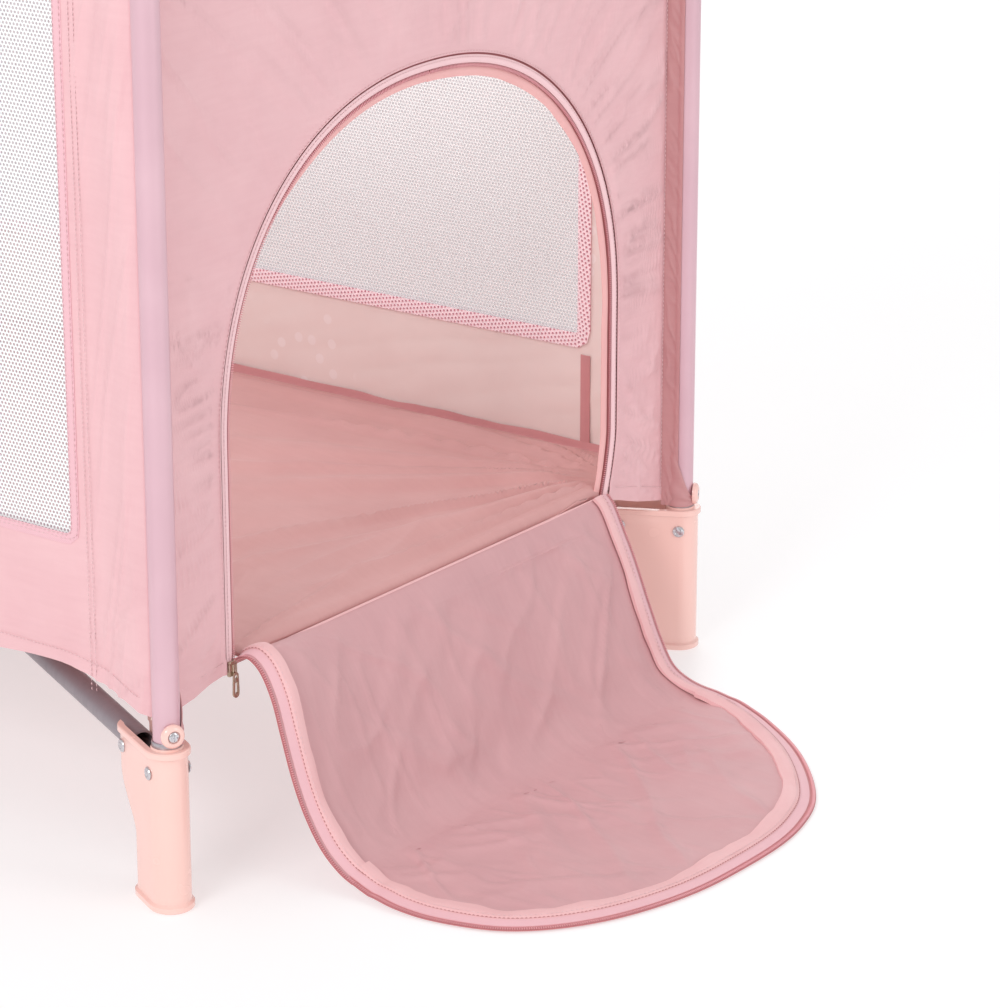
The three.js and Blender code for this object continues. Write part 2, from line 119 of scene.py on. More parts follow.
def add_studio():
    bpy.context.scene.view_settings.view_transform = "Standard"
    world = bpy.data.worlds.new("studio")
    bpy.context.scene.world = world
    world.use_nodes = True
    world.node_tree.nodes["Background"].inputs["Color"].default_value = (1.0, 0.985, 0.985, 1)
    world.node_tree.nodes["Background"].inputs["Strength"].default_value = 0.66
    area_light("key", (0.9, -3.3, 2.3), (0.3, 0, 0.3), (1.5, 1.2), 53)
    area_light("fill", (3.9, 0.3, 1.5), (0.5, 0, 0.3), (1.6, 1.4), 20)
    area_light("top", (0.0, 0.2, 3.2), (0.2, 0, 0.2), (2.4, 2.0), 3)
    area_light("inside", (0.1, -0.10, 0.66), (0.1, 0.3, 0.22), (0.9, 0.2), 1.2)
    area_light("behind", (-1.6, 3.0, 2.0), (0.0, 0.3, 0.3), (2.6, 1.8), 26)
    mesh = bpy.data.meshes.new("studio_floor")
    reach, drop = 14.0, 0.0006
    mesh.from_pydata(
        [(x * reach, y * reach, -drop) for x, y in ((-1, -1), (1, -1), (1, 1), (-1, 1))],
        [], [(0, 1, 2, 3)],
    )
    floor = linked(mesh)
    mesh.materials.append(studio_material())


# ---- mesh helpers ----
def linked(mesh):
    obj = bpy.data.objects.new(mesh.name, mesh)
    bpy.context.scene.collection.objects.link(obj)
    return obj


def applied(obj):
    graph = bpy.context.evaluated_depsgraph_get()
    mesh = bpy.data.meshes.new_from_object(obj.evaluated_get(graph))
    obj.modifiers.clear()
    obj.data = mesh
    return obj


def from_lists(name, verts, faces, material, smooth=True, uvs=None):
    mesh = bpy.data.meshes.new(name)
    mesh.from_pydata([tuple(map(float, v)) for v in verts], [], [tuple(map(int, f)) for f in faces])
    if uvs is not None:
        layer = mesh.uv_layers.new(name=UV)
        index = np.zeros(len(mesh.loops), int)
        mesh.loops.foreach_get("vertex_index", index)
        layer.data.foreach_set("uv", np.asarray(uvs, np.float32)[index].ravel())
    mesh.polygons.foreach_set("use_smooth", [smooth] * len(mesh.polygons))
    for one in material if isinstance(material, (list, tuple)) else [material]:
        mesh.materials.append(one)
    return linked(mesh)


def solidified(obj, thickness, offset=0.0):
    modifier = obj.modifiers.new("thickness", "SOLIDIFY")
    modifier.thickness = thickness
    modifier.offset = offset
    modifier.use_even_offset = False
    return sharp_edges(applied(obj), 60)


def bevelled(obj, width, segments=2):
    modifier = obj.modifiers.new("bevel", "BEVEL")
    modifier.width = width
    modifier.segments = segments
    modifier.limit_method = "ANGLE"
    modifier.angle_limit = math.radians(35)
    modifier.harden_normals = True
    return applied(obj)


def consistent(obj):
    """Turns every face outwards."""
    bm = bmesh.new()
    bm.from_mesh(obj.data)
    bmesh.ops.recalc_face_normals(bm, faces=bm.faces)
    bm.to_mesh(obj.data)
    bm.free()
    return obj


def running_length(points):
    return np.concatenate([[0], np.cumsum(np.linalg.norm(np.diff(points, axis=0), axis=1))])


def grid_faces(rows, columns):
    index = np.arange(rows * columns).reshape(rows, columns)
    return np.stack([index[:-1, :-1], index[1:, :-1], index[1:, 1:], index[:-1, 1:]], -1)


def tube_faces(rings, count):
    """Faces between rings of count vertices each."""
    return [(i * count + j, i * count + k, (i + 1) * count + k, (i + 1) * count + j)
            for i in range(rings - 1) for j in range(count) for k in [(j + 1) % count]]


def sharp_edges(obj, angle=38):
    """Smooth shading that stays crisp at the edges above the angle."""
    bm = bmesh.new()
    bm.from_mesh(obj.data)
    limit = math.radians(angle)
    for edge in bm.edges:
        edge.smooth = len(edge.link_faces) == 2 and edge.calc_face_angle(0) < limit
    bm.to_mesh(obj.data)
    bm.free()
    obj.data.polygons.foreach_set("use_smooth", [True] * len(obj.data.polygons))
    return obj


def merged(name, objects):
    """One object from several, with their materials side by side."""
    for obj in bpy.context.selected_objects:
        obj.select_set(False)
    for obj in objects:
        obj.select_set(True)
    bpy.context.view_layer.objects.active = objects[0]
    bpy.ops.object.join()
    objects[0].name = name
    objects[0].data.name = name
    objects[0].select_set(False)
    return objects[0]


def moved(obj, shift=(0, 0, 0), turn=0.0, mirror=(1, 1)):
    """Mirrors a mesh in X and Y, turns it about Z and shifts it, in its vertices."""
    obj.data.transform(Matrix.Diagonal((mirror[0], mirror[1], 1, 1)))
    obj.data.transform(Matrix.Translation(shift) @ Matrix.Rotation(turn, 4, "Z"))
    if mirror[0] * mirror[1] < 0:
        obj.data.flip_normals()
    return obj


def cut(obj, *cutters):
    for cutter in cutters:
        modifier = obj.modifiers.new("cut", "BOOLEAN")
        modifier.operation = "DIFFERENCE"
        modifier.solver = "EXACT"
        modifier.object = cutter
        applied(obj)
        bpy.data.objects.remove(cutter)
    return obj


def union(obj, *others):
    for other in others:
        modifier = obj.modifiers.new("union", "BOOLEAN")
        modifier.operation = "UNION"
        modifier.solver = "EXACT"
        modifier.object = other
        applied(obj)
        bpy.data.objects.remove(other)
    return obj


def lathe(name, profile, material, segments=40, axis="Z"):
    """A closed solid turned from (radius, height) pairs; pairs with radius 0 close its ends."""
    profile = np.asarray(profile, float)
    turn = np.arange(segments) * 2 * math.pi / segments
    verts, rings = [], []
    for radius, height in profile:
        if radius < 1e-9:
            rings.append([len(verts)])
            verts.append((0, 0, height))
        else:
            rings.append(list(range(len(verts), len(verts) + segments)))
            verts += [(radius * math.cos(a), radius * math.sin(a), height) for a in turn]
    faces = []
    for low, high in zip(rings, rings[1:]):
        for i in range(segments):
            j = (i + 1) % segments
            if len(low) == 1:
                faces.append((low[0], high[j], high[i]))
            elif len(high) == 1:
                faces.append((low[i], low[j], high[0]))
            else:
                faces.append((low[i], low[j], high[j], high[i]))
    if axis == "Y":
        verts = [(x, -z, y) for x, y, z in verts]
    return sharp_edges(consistent(from_lists(name, verts, faces, material)))


def extruded(name, outline, y0, y1, material):
    """An outline in the XZ plane, extruded along Y."""
    count = len(outline)
    verts = [(x, y, z) for y in (y0, y1) for x, z in outline]
    faces = [tuple(range(count)), tuple(range(2 * count - 1, count - 1, -1))]
    faces += [(i, i + count, (i + 1) % count + count, (i + 1) % count) for i in range(count)]
    return consistent(from_lists(name, verts, faces, material, False))


def block(name, low, high, material):
    outline = [(low[0], low[2]), (high[0], low[2]), (high[0], high[2]), (low[0], high[2])]
    return extruded(name, outline, low[1], high[1], material)


def frames_along(path):
    """Unit tangents of a polyline of points."""
    path = np.asarray(path, float)
    step = np.gradient(path, axis=0)
    return step / np.linalg.norm(step, axis=1)[:, None]


def ribbon(name, path, across, section, material):
    """A closed section of (sideways, outward) pairs swept along a path; across gives sideways there."""
    path, across = np.asarray(path, float), np.asarray(across, float)
    outward = np.cross(frames_along(path), across)
    outward /= np.linalg.norm(outward, axis=1)[:, None]
    section = np.asarray(section, float)
    count, ring = len(path), len(section)
    verts = (
        path[:, None] + across[:, None] * section[None, :, :1] + outward[:, None] * section[None, :, 1:]
    ).reshape(-1, 3)
    faces = [*tube_faces(count, ring), tuple(range(ring - 1, -1, -1)),
             tuple(range((count - 1) * ring, count * ring))]
    uvs = np.stack([np.repeat(running_length(path), ring), np.tile(running_length(section), count)], 1)
    return from_lists(name, verts, faces, material, True, uvs)


def resampled(points, count):
    points = np.asarray(points, float)
    length = running_length(points)
    at = np.linspace(0, length[-1], count)
    return np.stack([np.interp(at, length, points[:, k]) for k in range(points.shape[1])], 1)


def smoothed(points, count):
    """A Catmull-Rom curve through the points, evenly spaced."""
    p = np.asarray(points, float)
    p = np.concatenate([[2 * p[0] - p[1]], p, [2 * p[-1] - p[-2]]])
    t = np.linspace(0, 1, 24, endpoint=False)[:, None]
    runs = []
    for a, b, c, d in zip(p, p[1:], p[2:], p[3:]):
        runs.append(0.5 * (2 * b + (c - a) * t + (2 * a - 5 * b + 4 * c - d) * t ** 2
                           + (3 * b - a - 3 * c + d) * t ** 3))
    return resampled(np.concatenate([*runs, p[-2:-1]]), count)


def lumps(a, b, seed):
    """Smooth value noise from -1 to 1 over a lattice of unit cells."""
    table = np.random.RandomState(seed).uniform(-1, 1, (64, 64))
    a, b = np.asarray(a, float) + 17.3, np.asarray(b, float) + 9.7
    i, j = np.floor(a).astype(int), np.floor(b).astype(int)
    s, t = a - i, b - j
    s, t = s * s * (3 - 2 * s), t * t * (3 - 2 * t)
    at = lambda p, q: table[p % 64, q % 64]
    low = at(i, j) * (1 - s) + at(i + 1, j) * s
    high = at(i, j + 1) * (1 - s) + at(i + 1, j + 1) * s
    return low * (1 - t) + high * t


def ease(value, low, high):
    t = np.clip((np.asarray(value, float) - low) / (high - low), 0, 1)
    return t * t * (3 - 2 * t)


def creases(a, b, angle, across, along, seed):
    """Sharp-topped folds that run at an angle, from 0 to 1, spaced by across and about along long."""
    c, s = math.cos(angle), math.sin(angle)
    p, q = a * c + b * s, -a * s + b * c
    wave = lumps(p / along, q / across, seed) + 0.5 * lumps(p / along * 2, q / across * 2.1, seed + 1)
    return np.clip(1 - np.abs(wave) * 2.2, 0, 1) ** 1.5


# ---- materials ----
class Paint:
    """A Principled material and short calls for the nodes behind it."""

    def __init__(self, name, base, roughness, metallic=0.0, **sockets):
        self.material = bpy.data.materials.new(name)
        self.material.use_nodes = True
        self.tree = self.material.node_tree
        self.shader = self.tree.nodes["Principled BSDF"]
        self.set("Base Color", (*base, 1))
        self.set("Roughness", roughness)
        self.set("Metallic", metallic)
        for key, value in sockets.items():
            self.set(key.replace("_", " "), value)
        self.space = None

    def set(self, socket, value):
        self.shader.inputs[socket].default_value = value

    def link(self, source, target):
        self.tree.links.new(source, target)

    def node(self, kind, **inputs):
        made = self.tree.nodes.new("ShaderNode" + kind)
        for key, value in inputs.items():
            made.inputs[key.replace("_", " ")].default_value = value
        return made

    def place(self, cloth=False):
        """Coordinates in metres: along the cloth, or the object's own."""
        if self.space is None:
            if cloth:
                source = self.node("UVMap")
                source.uv_map = UV
                self.space = source.outputs["UV"]
            else:
                self.space = self.node("TexCoord").outputs["Object"]
        return self.space

    def noise(self, scale, detail=3.0, rough=0.55, stretch=None, cloth=False):
        made = self.node("TexNoise", Scale=scale, Detail=detail, Roughness=rough)
        where = self.place(cloth)
        if stretch:
            mapping = self.node("Mapping", Scale=stretch)
            self.link(where, mapping.inputs["Vector"])
            where = mapping.outputs["Vector"]
        self.link(where, made.inputs["Vector"])
        return made.outputs["Fac"]

    def math(self, operation, *values):
        made = self.node("Math")
        made.operation = operation
        for socket, value in zip(made.inputs, values):
            if isinstance(value, (int, float)):
                socket.default_value = value
            else:
                self.link(value, socket)
        return made.outputs[0]

    def ramp(self, value, low, high, start, end):
        """Maps value from low..high to start..end."""
        made = self.node("MapRange")
        for index, number in zip((1, 2, 3, 4), (low, high, start, end)):
            made.inputs[index].default_value = number
        self.link(value, made.inputs[0])
        return made.outputs[0]

    def mix(self, factor, first, second):
        made = self.node("Mix")
        made.data_type = "RGBA"
        self.link(factor, made.inputs["Factor"])
        for socket, value in ((made.inputs[6], first), (made.inputs[7], second)):
            if isinstance(value, tuple):
                socket.default_value = (*value, 1)
            else:
                self.link(value, socket)
        return made.outputs[2]

    def color(self, value):
        self.link(value, self.shader.inputs["Base Color"])

    def blend(self, value, base, shade, low=0.35, high=0.65):
        """Goes from base to shade as value goes from low to high."""
        return self.mix(self.ramp(value, low, high, 0, 1), base, shade)

    def rough(self, value, low, high):
        self.link(self.ramp(value, 0.3, 0.7, low, high), self.shader.inputs["Roughness"])

    def bump(self, height, distance, strength=1.0):
        made = self.node("Bump", Distance=distance, Strength=strength)
        self.link(height, made.inputs["Height"])
        old = self.shader.inputs["Normal"]
        if old.is_linked:
            self.link(old.links[0].from_socket, made.inputs["Normal"])
        self.link(made.outputs["Normal"], old)

    def waves(self, pitch, angle=0.0):
        """A cosine over the cloth with the given pitch, running at an angle."""
        scale = 2 * math.pi / pitch
        dot = self.node("VectorMath")
        dot.operation = "DOT_PRODUCT"
        self.link(self.place(True), dot.inputs[0])
        dot.inputs[1].default_value = (scale * math.cos(angle), scale * math.sin(angle), 0)
        return self.math("COSINE", dot.outputs["Value"])


def tone(red, green, blue):
    """Linear colour from display values of 0 to 255."""
    linear = lambda c: c / 12.92 if c <= 0.04045 else ((c + 0.055) / 1.055) ** 2.4
    return tuple(linear(c / 255) for c in (red, green, blue))


def studio_material():
    paint = Paint("studio_floor", (0.93, 0.93, 0.935), 0.6, Specular_IOR_Level=0.25)
    grain = paint.noise(3.0, 2.0)
    paint.color(paint.mix(grain, (0.52, 0.52, 0.525), (0.54, 0.54, 0.545)))
    paint.set("Emission Color", (1, 1, 1, 1))
    paint.set("Emission Strength", 0.5)
    return paint.material


def satin(name, base, shade, roughness=0.5, fold=0.0):
    """Close-woven polyester: a fine plain weave, faint slubs and a soft sheen."""
    paint = Paint(name, base, roughness, Sheen_Weight=0.12, Sheen_Roughness=0.5,
                  Specular_IOR_Level=0.35)
    paint.place(True)
    mottle = paint.noise(14.0, 4.0, 0.6, cloth=True)
    slub = paint.noise(260.0, 2.0, 0.5, stretch=(0.12, 1.0, 1.0), cloth=True)
    cloud = paint.math("ADD", paint.math("MULTIPLY", mottle, 0.7), paint.math("MULTIPLY", slub, 0.3))
    paint.color(paint.blend(cloud, base, shade, 0.3, 0.7))
    paint.rough(mottle, roughness - 0.05, roughness + 0.07)
    weave = 0.0008
    threads = paint.math("MULTIPLY", paint.waves(weave), paint.waves(weave * 1.3, math.pi / 2))
    paint.bump(threads, 0.00006, 0.5)
    paint.bump(slub, 0.00012, 0.6)
    if fold:
        soft = paint.noise(26.0, 3.0, 0.5, stretch=(0.35, 1.0, 1.0), cloth=True)
        paint.bump(soft, fold, 0.8)
    return paint.material


def knit(name, thread, hole_tone, pitch, slant, open_above, cover, painted_glow):
    """Warp-knit mesh: staggered round holes, part filled with the darker hole tone, and threads with a faint
    painted glow.
    """
    paint = Paint(name, thread, 0.75, Sheen_Weight=0.2, Sheen_Roughness=0.6)
    rows = pitch * math.sqrt(3) / 2
    waves = [paint.waves(rows, slant + turn) for turn in (math.pi / 6, math.pi / 2, 5 * math.pi / 6)]
    field = paint.math("ADD", paint.math("ADD", waves[0], waves[1]), waves[2])
    paint.bump(field, 0.0004, 0.5)
    strands = paint.waves(0.0009, slant)
    paint.bump(strands, 0.0001, 0.4)
    hole = paint.ramp(field, open_above - 0.3, open_above + 0.3, 0, 1)
    paint.color(paint.mix(hole, thread, hole_tone))
    paint.link(paint.ramp(hole, 0, 1, 1, cover), paint.shader.inputs["Alpha"])
    # Painted glow: the threads emit a faint light of their own.
    paint.set("Emission Color", (1, 0.97, 0.975, 1))
    paint.set("Emission Strength", painted_glow)
    return paint.material


def plastic(name, base, shade, roughness, grain=0.00001):
    paint = Paint(name, base, roughness, Specular_IOR_Level=0.5, Coat_Weight=0.4, Coat_Roughness=0.1)
    cloud = paint.noise(9.0, 3.0)
    fine = paint.noise(700.0, 2.0)
    paint.color(paint.blend(cloud, base, shade))
    paint.rough(paint.noise(25.0, 2.0), roughness - 0.02, roughness + 0.03)
    paint.bump(fine, grain, 0.3)
    return paint.material


def lacquer(name, base, shade, roughness, metallic):
    """Powder-coated or anodised tube with faint drawing marks along it."""
    paint = Paint(name, base, roughness, metallic, Specular_IOR_Level=0.5)
    marks = paint.noise(300.0, 2.0, 0.5, stretch=(1.0, 1.0, 0.02))
    cloud = paint.noise(12.0, 3.0)
    paint.color(paint.blend(cloud, base, shade))
    paint.rough(marks, roughness - 0.05, roughness + 0.08)
    paint.bump(marks, 0.00003, 0.35)
    return paint.material


def metal(name, base, shade, roughness):
    paint = Paint(name, base, roughness, 1.0)
    wear = paint.noise(180.0, 4.0, 0.6)
    fine = paint.noise(1400.0, 2.0)
    paint.color(paint.blend(wear, base, shade))
    paint.rough(wear, roughness - 0.06, roughness + 0.12)
    paint.bump(fine, 0.00004, 0.5)
    return paint.material


def woven_tape(name, base, shade, pitch, roughness=0.6):
    """Narrow woven tape with ribs across it."""
    paint = Paint(name, base, roughness, Sheen_Weight=0.15, Sheen_Roughness=0.5)
    ribs = paint.waves(pitch)
    cross = paint.waves(pitch * 0.8, math.pi / 2)
    weave = paint.math("MULTIPLY", ribs, cross)
    paint.color(paint.blend(weave, shade, base, -1, 1))
    paint.rough(paint.noise(60.0, 3.0, cloth=True), roughness - 0.06, roughness + 0.08)
    paint.bump(weave, 0.00012, 0.6)
    return paint.material


def dotted(name, base, shade, dot):
    """Lining cloth, plain but for a scatter of small pale dots."""
    paint = Paint(name, base, 0.62, Sheen_Weight=0.1, Sheen_Roughness=0.5, Specular_IOR_Level=0.3)
    paint.place(True)
    cloud = paint.noise(11.0, 4.0, cloth=True)
    cells = paint.node("TexVoronoi", Scale=42.0, Randomness=0.85)
    cells.voronoi_dimensions = "2D"
    paint.link(paint.place(True), cells.inputs["Vector"])
    patch = paint.ramp(paint.noise(4.2, 1.0, cloth=True), 0.55, 0.58, 0, 1)
    spot = paint.ramp(cells.outputs["Distance"], 0.16, 0.2, 1, 0)
    ground = paint.blend(cloud, base, shade, 0.3, 0.7)
    paint.color(paint.mix(paint.math("MULTIPLY", spot, patch), ground, dot))
    paint.rough(cloud, 0.57, 0.7)
    weave = paint.math("MULTIPLY", paint.waves(0.0009), paint.waves(0.0011, math.pi / 2))
    paint.bump(weave, 0.00006, 0.5)
    return paint.material


def make_materials():
    return {
        "cover": satin("cover_satin", tone(238, 193, 197), tone(231, 183, 188), 0.46, fold=0.0006),
        # The corner strip's darker tone is painted shade from the leg beside it.
        "strip": satin("corner_strip_painted_shade_satin", tone(205, 152, 153), tone(197, 143, 145), 0.5, fold=0.0006),
        "lining": dotted("lining_cloth", tone(247, 232, 228), tone(243, 225, 221), tone(250, 237, 235)),
        "lining_column": satin("lining_column", tone(246, 226, 216), tone(241, 219, 209), 0.6),
        "floor": satin("floor_cloth_satin", tone(219, 168, 166), tone(212, 159, 157), 0.5, fold=0.0008),
        "flap": satin("flap_satin", tone(216, 169, 172), tone(209, 160, 164), 0.48, fold=0.0007),
        "hem": satin("hem_cloth", tone(243, 197, 198), tone(235, 183, 185), 0.52, fold=0.0009),
        "guard": satin("zip_guard_cloth", tone(246, 190, 188), tone(238, 178, 177), 0.52, fold=0.0006),
        "gap": satin("zip_shadow_cloth", tone(186, 112, 114), tone(174, 100, 103), 0.7),
        "tape": woven_tape("zip_tape", tone(246, 200, 206), tone(236, 184, 192), 0.0012),
        "door_tape": woven_tape("door_zip_tape", tone(254, 218, 221), tone(247, 204, 209), 0.0012),
        "gusset": satin("floor_gusset_satin", tone(216, 154, 156), tone(206, 142, 145), 0.5, fold=0.0006),
        "border": woven_tape("border_tape", tone(243, 196, 204), tone(232, 180, 190), 0.0016),
        "deep_tape": woven_tape("deep_pink_tape", tone(214, 140, 142), tone(200, 124, 128), 0.0015),
        "teeth": plastic("zip_teeth", tone(238, 172, 178), tone(228, 158, 166), 0.35, 0.00002),
        "thread": woven_tape("stitch_thread", tone(248, 214, 216), tone(238, 198, 202), 0.0006),
        # The knits' last number sets the strength of their painted glow.
        "mesh": knit("knit_mesh", tone(238, 242, 243), tone(170, 152, 158), 0.0031, 0.0, 0.15, 0.38, 0.13),
        "trim": knit("trim_mesh", tone(255, 226, 233), tone(228, 120, 148), 0.0036, 0.2, 0.9, 0.3, 0.10),
        "trim_back": satin("trim_backing", tone(244, 168, 186), tone(238, 158, 177), 0.6),
        "tube": lacquer("leg_tube_coat", tone(226, 188, 198), tone(219, 180, 191), 0.34, 0.35),
        "base_tube": lacquer("base_tube_coat", tone(150, 142, 149), tone(140, 132, 139), 0.42, 0.3),
        "rail": lacquer("rail_tube_coat", tone(176, 170, 176), tone(166, 160, 167), 0.38, 0.6),
        "peach": plastic("peach_plastic_gloss", tone(251, 207, 198), tone(250, 204, 194), 0.25),
        "grey": plastic("grey_plastic", tone(116, 107, 114), tone(106, 98, 105), 0.45, 0.00012),
        "steel": metal("rivet_steel", (0.72, 0.71, 0.74), (0.6, 0.59, 0.62), 0.2),
        "collar": metal("collar_metal", (0.5, 0.47, 0.5), (0.4, 0.38, 0.41), 0.36),
        "brass": metal("zip_brass", (0.66, 0.56, 0.45), (0.5, 0.4, 0.3), 0.24),
        "webbing": woven_tape("strap_webbing", tone(206, 146, 152), tone(188, 126, 134), 0.0022, 0.75),
        "padding": satin("sleeve_satin", tone(238, 193, 197), tone(230, 182, 187), 0.48, fold=0.0009),
    }


MAT = make_materials()


# ---- putting pieces on the frame ----
def hard(obj, body, slot, *nodes):
    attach(obj, body)
    if nodes:
        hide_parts(*nodes)
    return obj


def soft(obj, body, slot, axis, anchor, keep, *nodes):
    hard(obj, body, slot, *nodes)
    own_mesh(obj)
    return obj


def placed(obj, name, body, slot, place, *nodes):
    """Moves a rigid piece to its place, names it and lets it ride on its body."""
    moved(obj, *place)
    obj.name = name
    return hard(obj, body, slot, *nodes)


def inward_turn(sx, sy):
    return math.atan2(-sy * SIN, -sx * COS)


# ---- legs, feet and buttons ----
def stadium_ring(x0, x1, radius, z):
    """Points round a stadium in plan, the same number for every size."""
    count = 14
    return [(x + radius * math.cos(a), radius * math.sin(a), z)
            for x, start in ((x0, math.pi / 2), (x1, -math.pi / 2))
            for a in [start + math.pi * k / count for k in range(count + 1)]]


def ring_solid(name, rings, material):
    """A closed solid lofted through rings of points, capped at both ends."""
    count = len(rings[0])
    verts = [p for ring in rings for p in ring]
    faces = [tuple(range(count)), *tube_faces(len(rings), count),
             tuple(range((len(rings) - 1) * count, len(rings) * count))]
    return consistent(from_lists(name, verts, faces, material))


def foot_shell():
    """The foot's own frame: leg axis at the origin, +X towards the hub."""
    waist, reach, step_low, step_high = 0.024, FOOT_REACH, 0.046, 0.086
    levels = [(0.0, 0.0012), (0.0008, FOOT_RIM), (0.0042, FOOT_RIM), (0.0052, 0.0004), (0.0056, 0)]
    levels += [(z, 0) for z in np.linspace(0.012, step_low, 6)]
    levels += [(z, 0) for z in np.linspace(step_low, step_high, 16)[1:]]
    levels += [(z, 0) for z in np.linspace(0.09, FOOT_TOP - 0.0056, 4)]
    levels += [(FOOT_TOP - 0.0048, 0.0004), (FOOT_TOP - 0.0042, FOOT_RIM), (FOOT_TOP - 0.0008, FOOT_RIM),
               (FOOT_TOP, 0.0012)]
    rings = []
    for z, rim in levels:
        share = float(ease(z, step_low, step_high)) ** 0.85
        rings.append(stadium_ring(0, waist + (reach - waist) * share, FOOT_RADIUS + rim, z))
    inner = FOOT_RADIUS - 0.0028
    for z, shrink in ((FOOT_TOP, 0), (FOOT_TOP - 0.0012, 0.0006), (LEG_BOTTOM, 0.0009)):
        rings.append(stadium_ring(0, reach, inner - shrink, z))
    shell = ring_solid("foot_shell", rings, MAT["peach"])
    mouth = block(
        "mouth", (reach, -CHANNEL_HALF, PIVOT_Z - CHANNEL_HALF - 0.002),
        (reach + 0.03, CHANNEL_HALF, FOOT_TOP + 0.002), MAT["peach"],
    )
    return sharp_edges(cut(shell, mouth), 32)


def socket_lip():
    """The round raised lip that the leg stands in, inside the foot's rim."""
    inner, outer = TUBE_RADIUS + 0.0003, FOOT_RADIUS - 0.0026
    top = FOOT_TOP + 0.0012
    profile = [(inner, LEG_BOTTOM), (outer, LEG_BOTTOM), (outer, top - 0.001), (outer - 0.0008, top),
               (inner + 0.0004, top), (inner, top - 0.0004), (inner, LEG_BOTTOM)]
    return lathe("socket_lip", profile, MAT["peach"], 36)


def rivet_head(x, z, side, out):
    """A domed rivet head with a pressed centre, on the foot's side."""
    profile = [(0.0, 0.0), (0.0046, 0.0), (0.0047, 0.0005), (0.0042, 0.0012), (0.0028, 0.0016),
               (0.0021, 0.0011), (0.0019, 0.0016), (0.0, 0.0019)]
    head = lathe("rivet_head", profile, MAT["steel"], 24)
    head.data.transform(Matrix.Rotation(-side * math.pi / 2, 4, "X"))
    head.data.transform(Matrix.Translation((x, side * out, z)))
    return head


def leg_tube():
    wall = 0.0013
    profile = [(TUBE_RADIUS - wall, LEG_BOTTOM), (TUBE_RADIUS, LEG_BOTTOM), (TUBE_RADIUS, LEG_TOP),
               (TUBE_RADIUS - wall, LEG_TOP), (TUBE_RADIUS - wall, LEG_BOTTOM)]
    tube = lathe("leg_tube", profile, MAT["tube"], 48)
    ring = TUBE_RADIUS + 0.0009
    low, high = FOOT_TOP + 0.0008, FOOT_TOP + 0.0052
    collar = lathe("collar", [
        (TUBE_RADIUS, low), (ring, low), (ring + 0.0002, low + 0.0006), (ring + 0.0002, high - 0.0006),
        (ring, high), (TUBE_RADIUS, high), (TUBE_RADIUS, low),
    ], MAT["collar"], 40)
    return merged("leg_tube", [tube, collar])


def corner_button():
    """A rounded clip on the leg's outside, with a cross-head screw in its middle."""
    back, radius = TUBE_RADIUS + 0.0002, 0.0083
    body = lathe("button", [
        (0, 0), (radius, 0), (radius + 0.0002, 0.0006), (radius, 0.0022), (radius - 0.0008, 0.0034),
        (radius - 0.0022, 0.0042), (0.0048, 0.0044), (0.0044, 0.0038), (0.0043, 0.0026), (0, 0.0026),
    ], MAT["peach"], 40)
    screw = lathe("screw", [
        (0, 0.002), (0.0038, 0.002), (0.0039, 0.0034), (0.0033, 0.0041), (0.0018, 0.0045), (0, 0.0046),
    ], MAT["steel"], 28)
    arm, half = 0.0026, 0.0004
    cut(screw, block("slot", (-arm, -half, 0.0034), (arm, half, 0.006), MAT["steel"]),
        block("slot", (-half, -arm, 0.0034), (half, arm, 0.006), MAT["steel"]))
    sharp_edges(screw, 35)
    both = merged("corner_button", [body, screw])
    both.data.transform(Matrix.Rotation(-math.pi / 2, 4, "Y"))
    both.data.transform(Matrix.Translation((-back, 0, BUTTON_Z)))
    return both


def add_feet():
    for name, (sx, sy) in CORNERS.items():
        body, place = f"leg_{name}", ((sx * HALF_LENGTH, sy * HALF_WIDTH, 0), inward_turn(sx, sy))
        placed(leg_tube(), f"tube_{name}", body, "leg_tube", place, f"leg_tube_{name}")
        foot = merged("foot", [foot_shell(), socket_lip()])
        placed(foot, f"foot_{name}", body, "peach_plastic", place, f"foot_bracket_{name}")
        heads = [rivet_head(x, z, side, FOOT_RADIUS + 0.0001)
                 for side in (-1, 1) for x, z in ((0, LEG_RIVET_Z), (FOOT_REACH - 0.001, PIVOT_Z))]
        placed(merged("rivets", heads), f"foot_rivets_{name}", body, "rail_tube", place)
        placed(corner_button(), f"button_{name}", body, "peach_plastic", place, f"corner_button_{name}")


def straight_tube(length, radius, material, rivet_out):
    """An open tube along +X from its pivot, with a rivet through each end."""
    end, wall = 0.003, 0.0013
    profile = [(radius - wall, -end), (radius, -end), (radius, length + end),
               (radius - wall, length + end), (radius - wall, -end)]
    tube = lathe("tube", profile, material, 36)
    tube.data.transform(Matrix.Rotation(math.pi / 2, 4, "Y"))
    heads = [rivet_head(x, 0, side, rivet_out) for side in (-1, 1) for x in (0, length)]
    return merged("tube", [tube, *heads])


def add_base_tubes():
    for name, (sx, sy) in CORNERS.items():
        tube = straight_tube(BASE_LENGTH, TUBE_RADIUS - 0.0005, MAT["base_tube"], FOOT_RADIUS + 0.0001)
        start = (sx * (HALF_LENGTH - COS * FOOT_REACH), sy * (HALF_WIDTH - SIN * FOOT_REACH), PIVOT_Z)
        placed(tube, f"base_tube_steel_{name}", f"base_{name}", "base_tube", (start, inward_turn(sx, sy)),
               f"base_tube_{name}")


# ---- forks, caps and locks ----
def arc_points(x, z, radius, start, end, count):
    return [(x + radius * math.cos(a), z + radius * math.sin(a)) for a in np.linspace(start, end, count)]


def fork_bar(reach, material):
    top, back = RAIL_Z + CHANNEL_HALF + CHEEK, -0.001
    outline = [(back, RAIL_Z - EAR_RADIUS)]
    outline += arc_points(reach, RAIL_Z, EAR_RADIUS, -math.pi / 2, 0, 14)
    outline += arc_points(reach + EAR_RADIUS - 0.004, top - 0.004, 0.004, 0, math.pi / 2, 6)
    outline += [(back, top)]
    return extruded("fork", outline, -FORK_OUT, FORK_OUT, material)


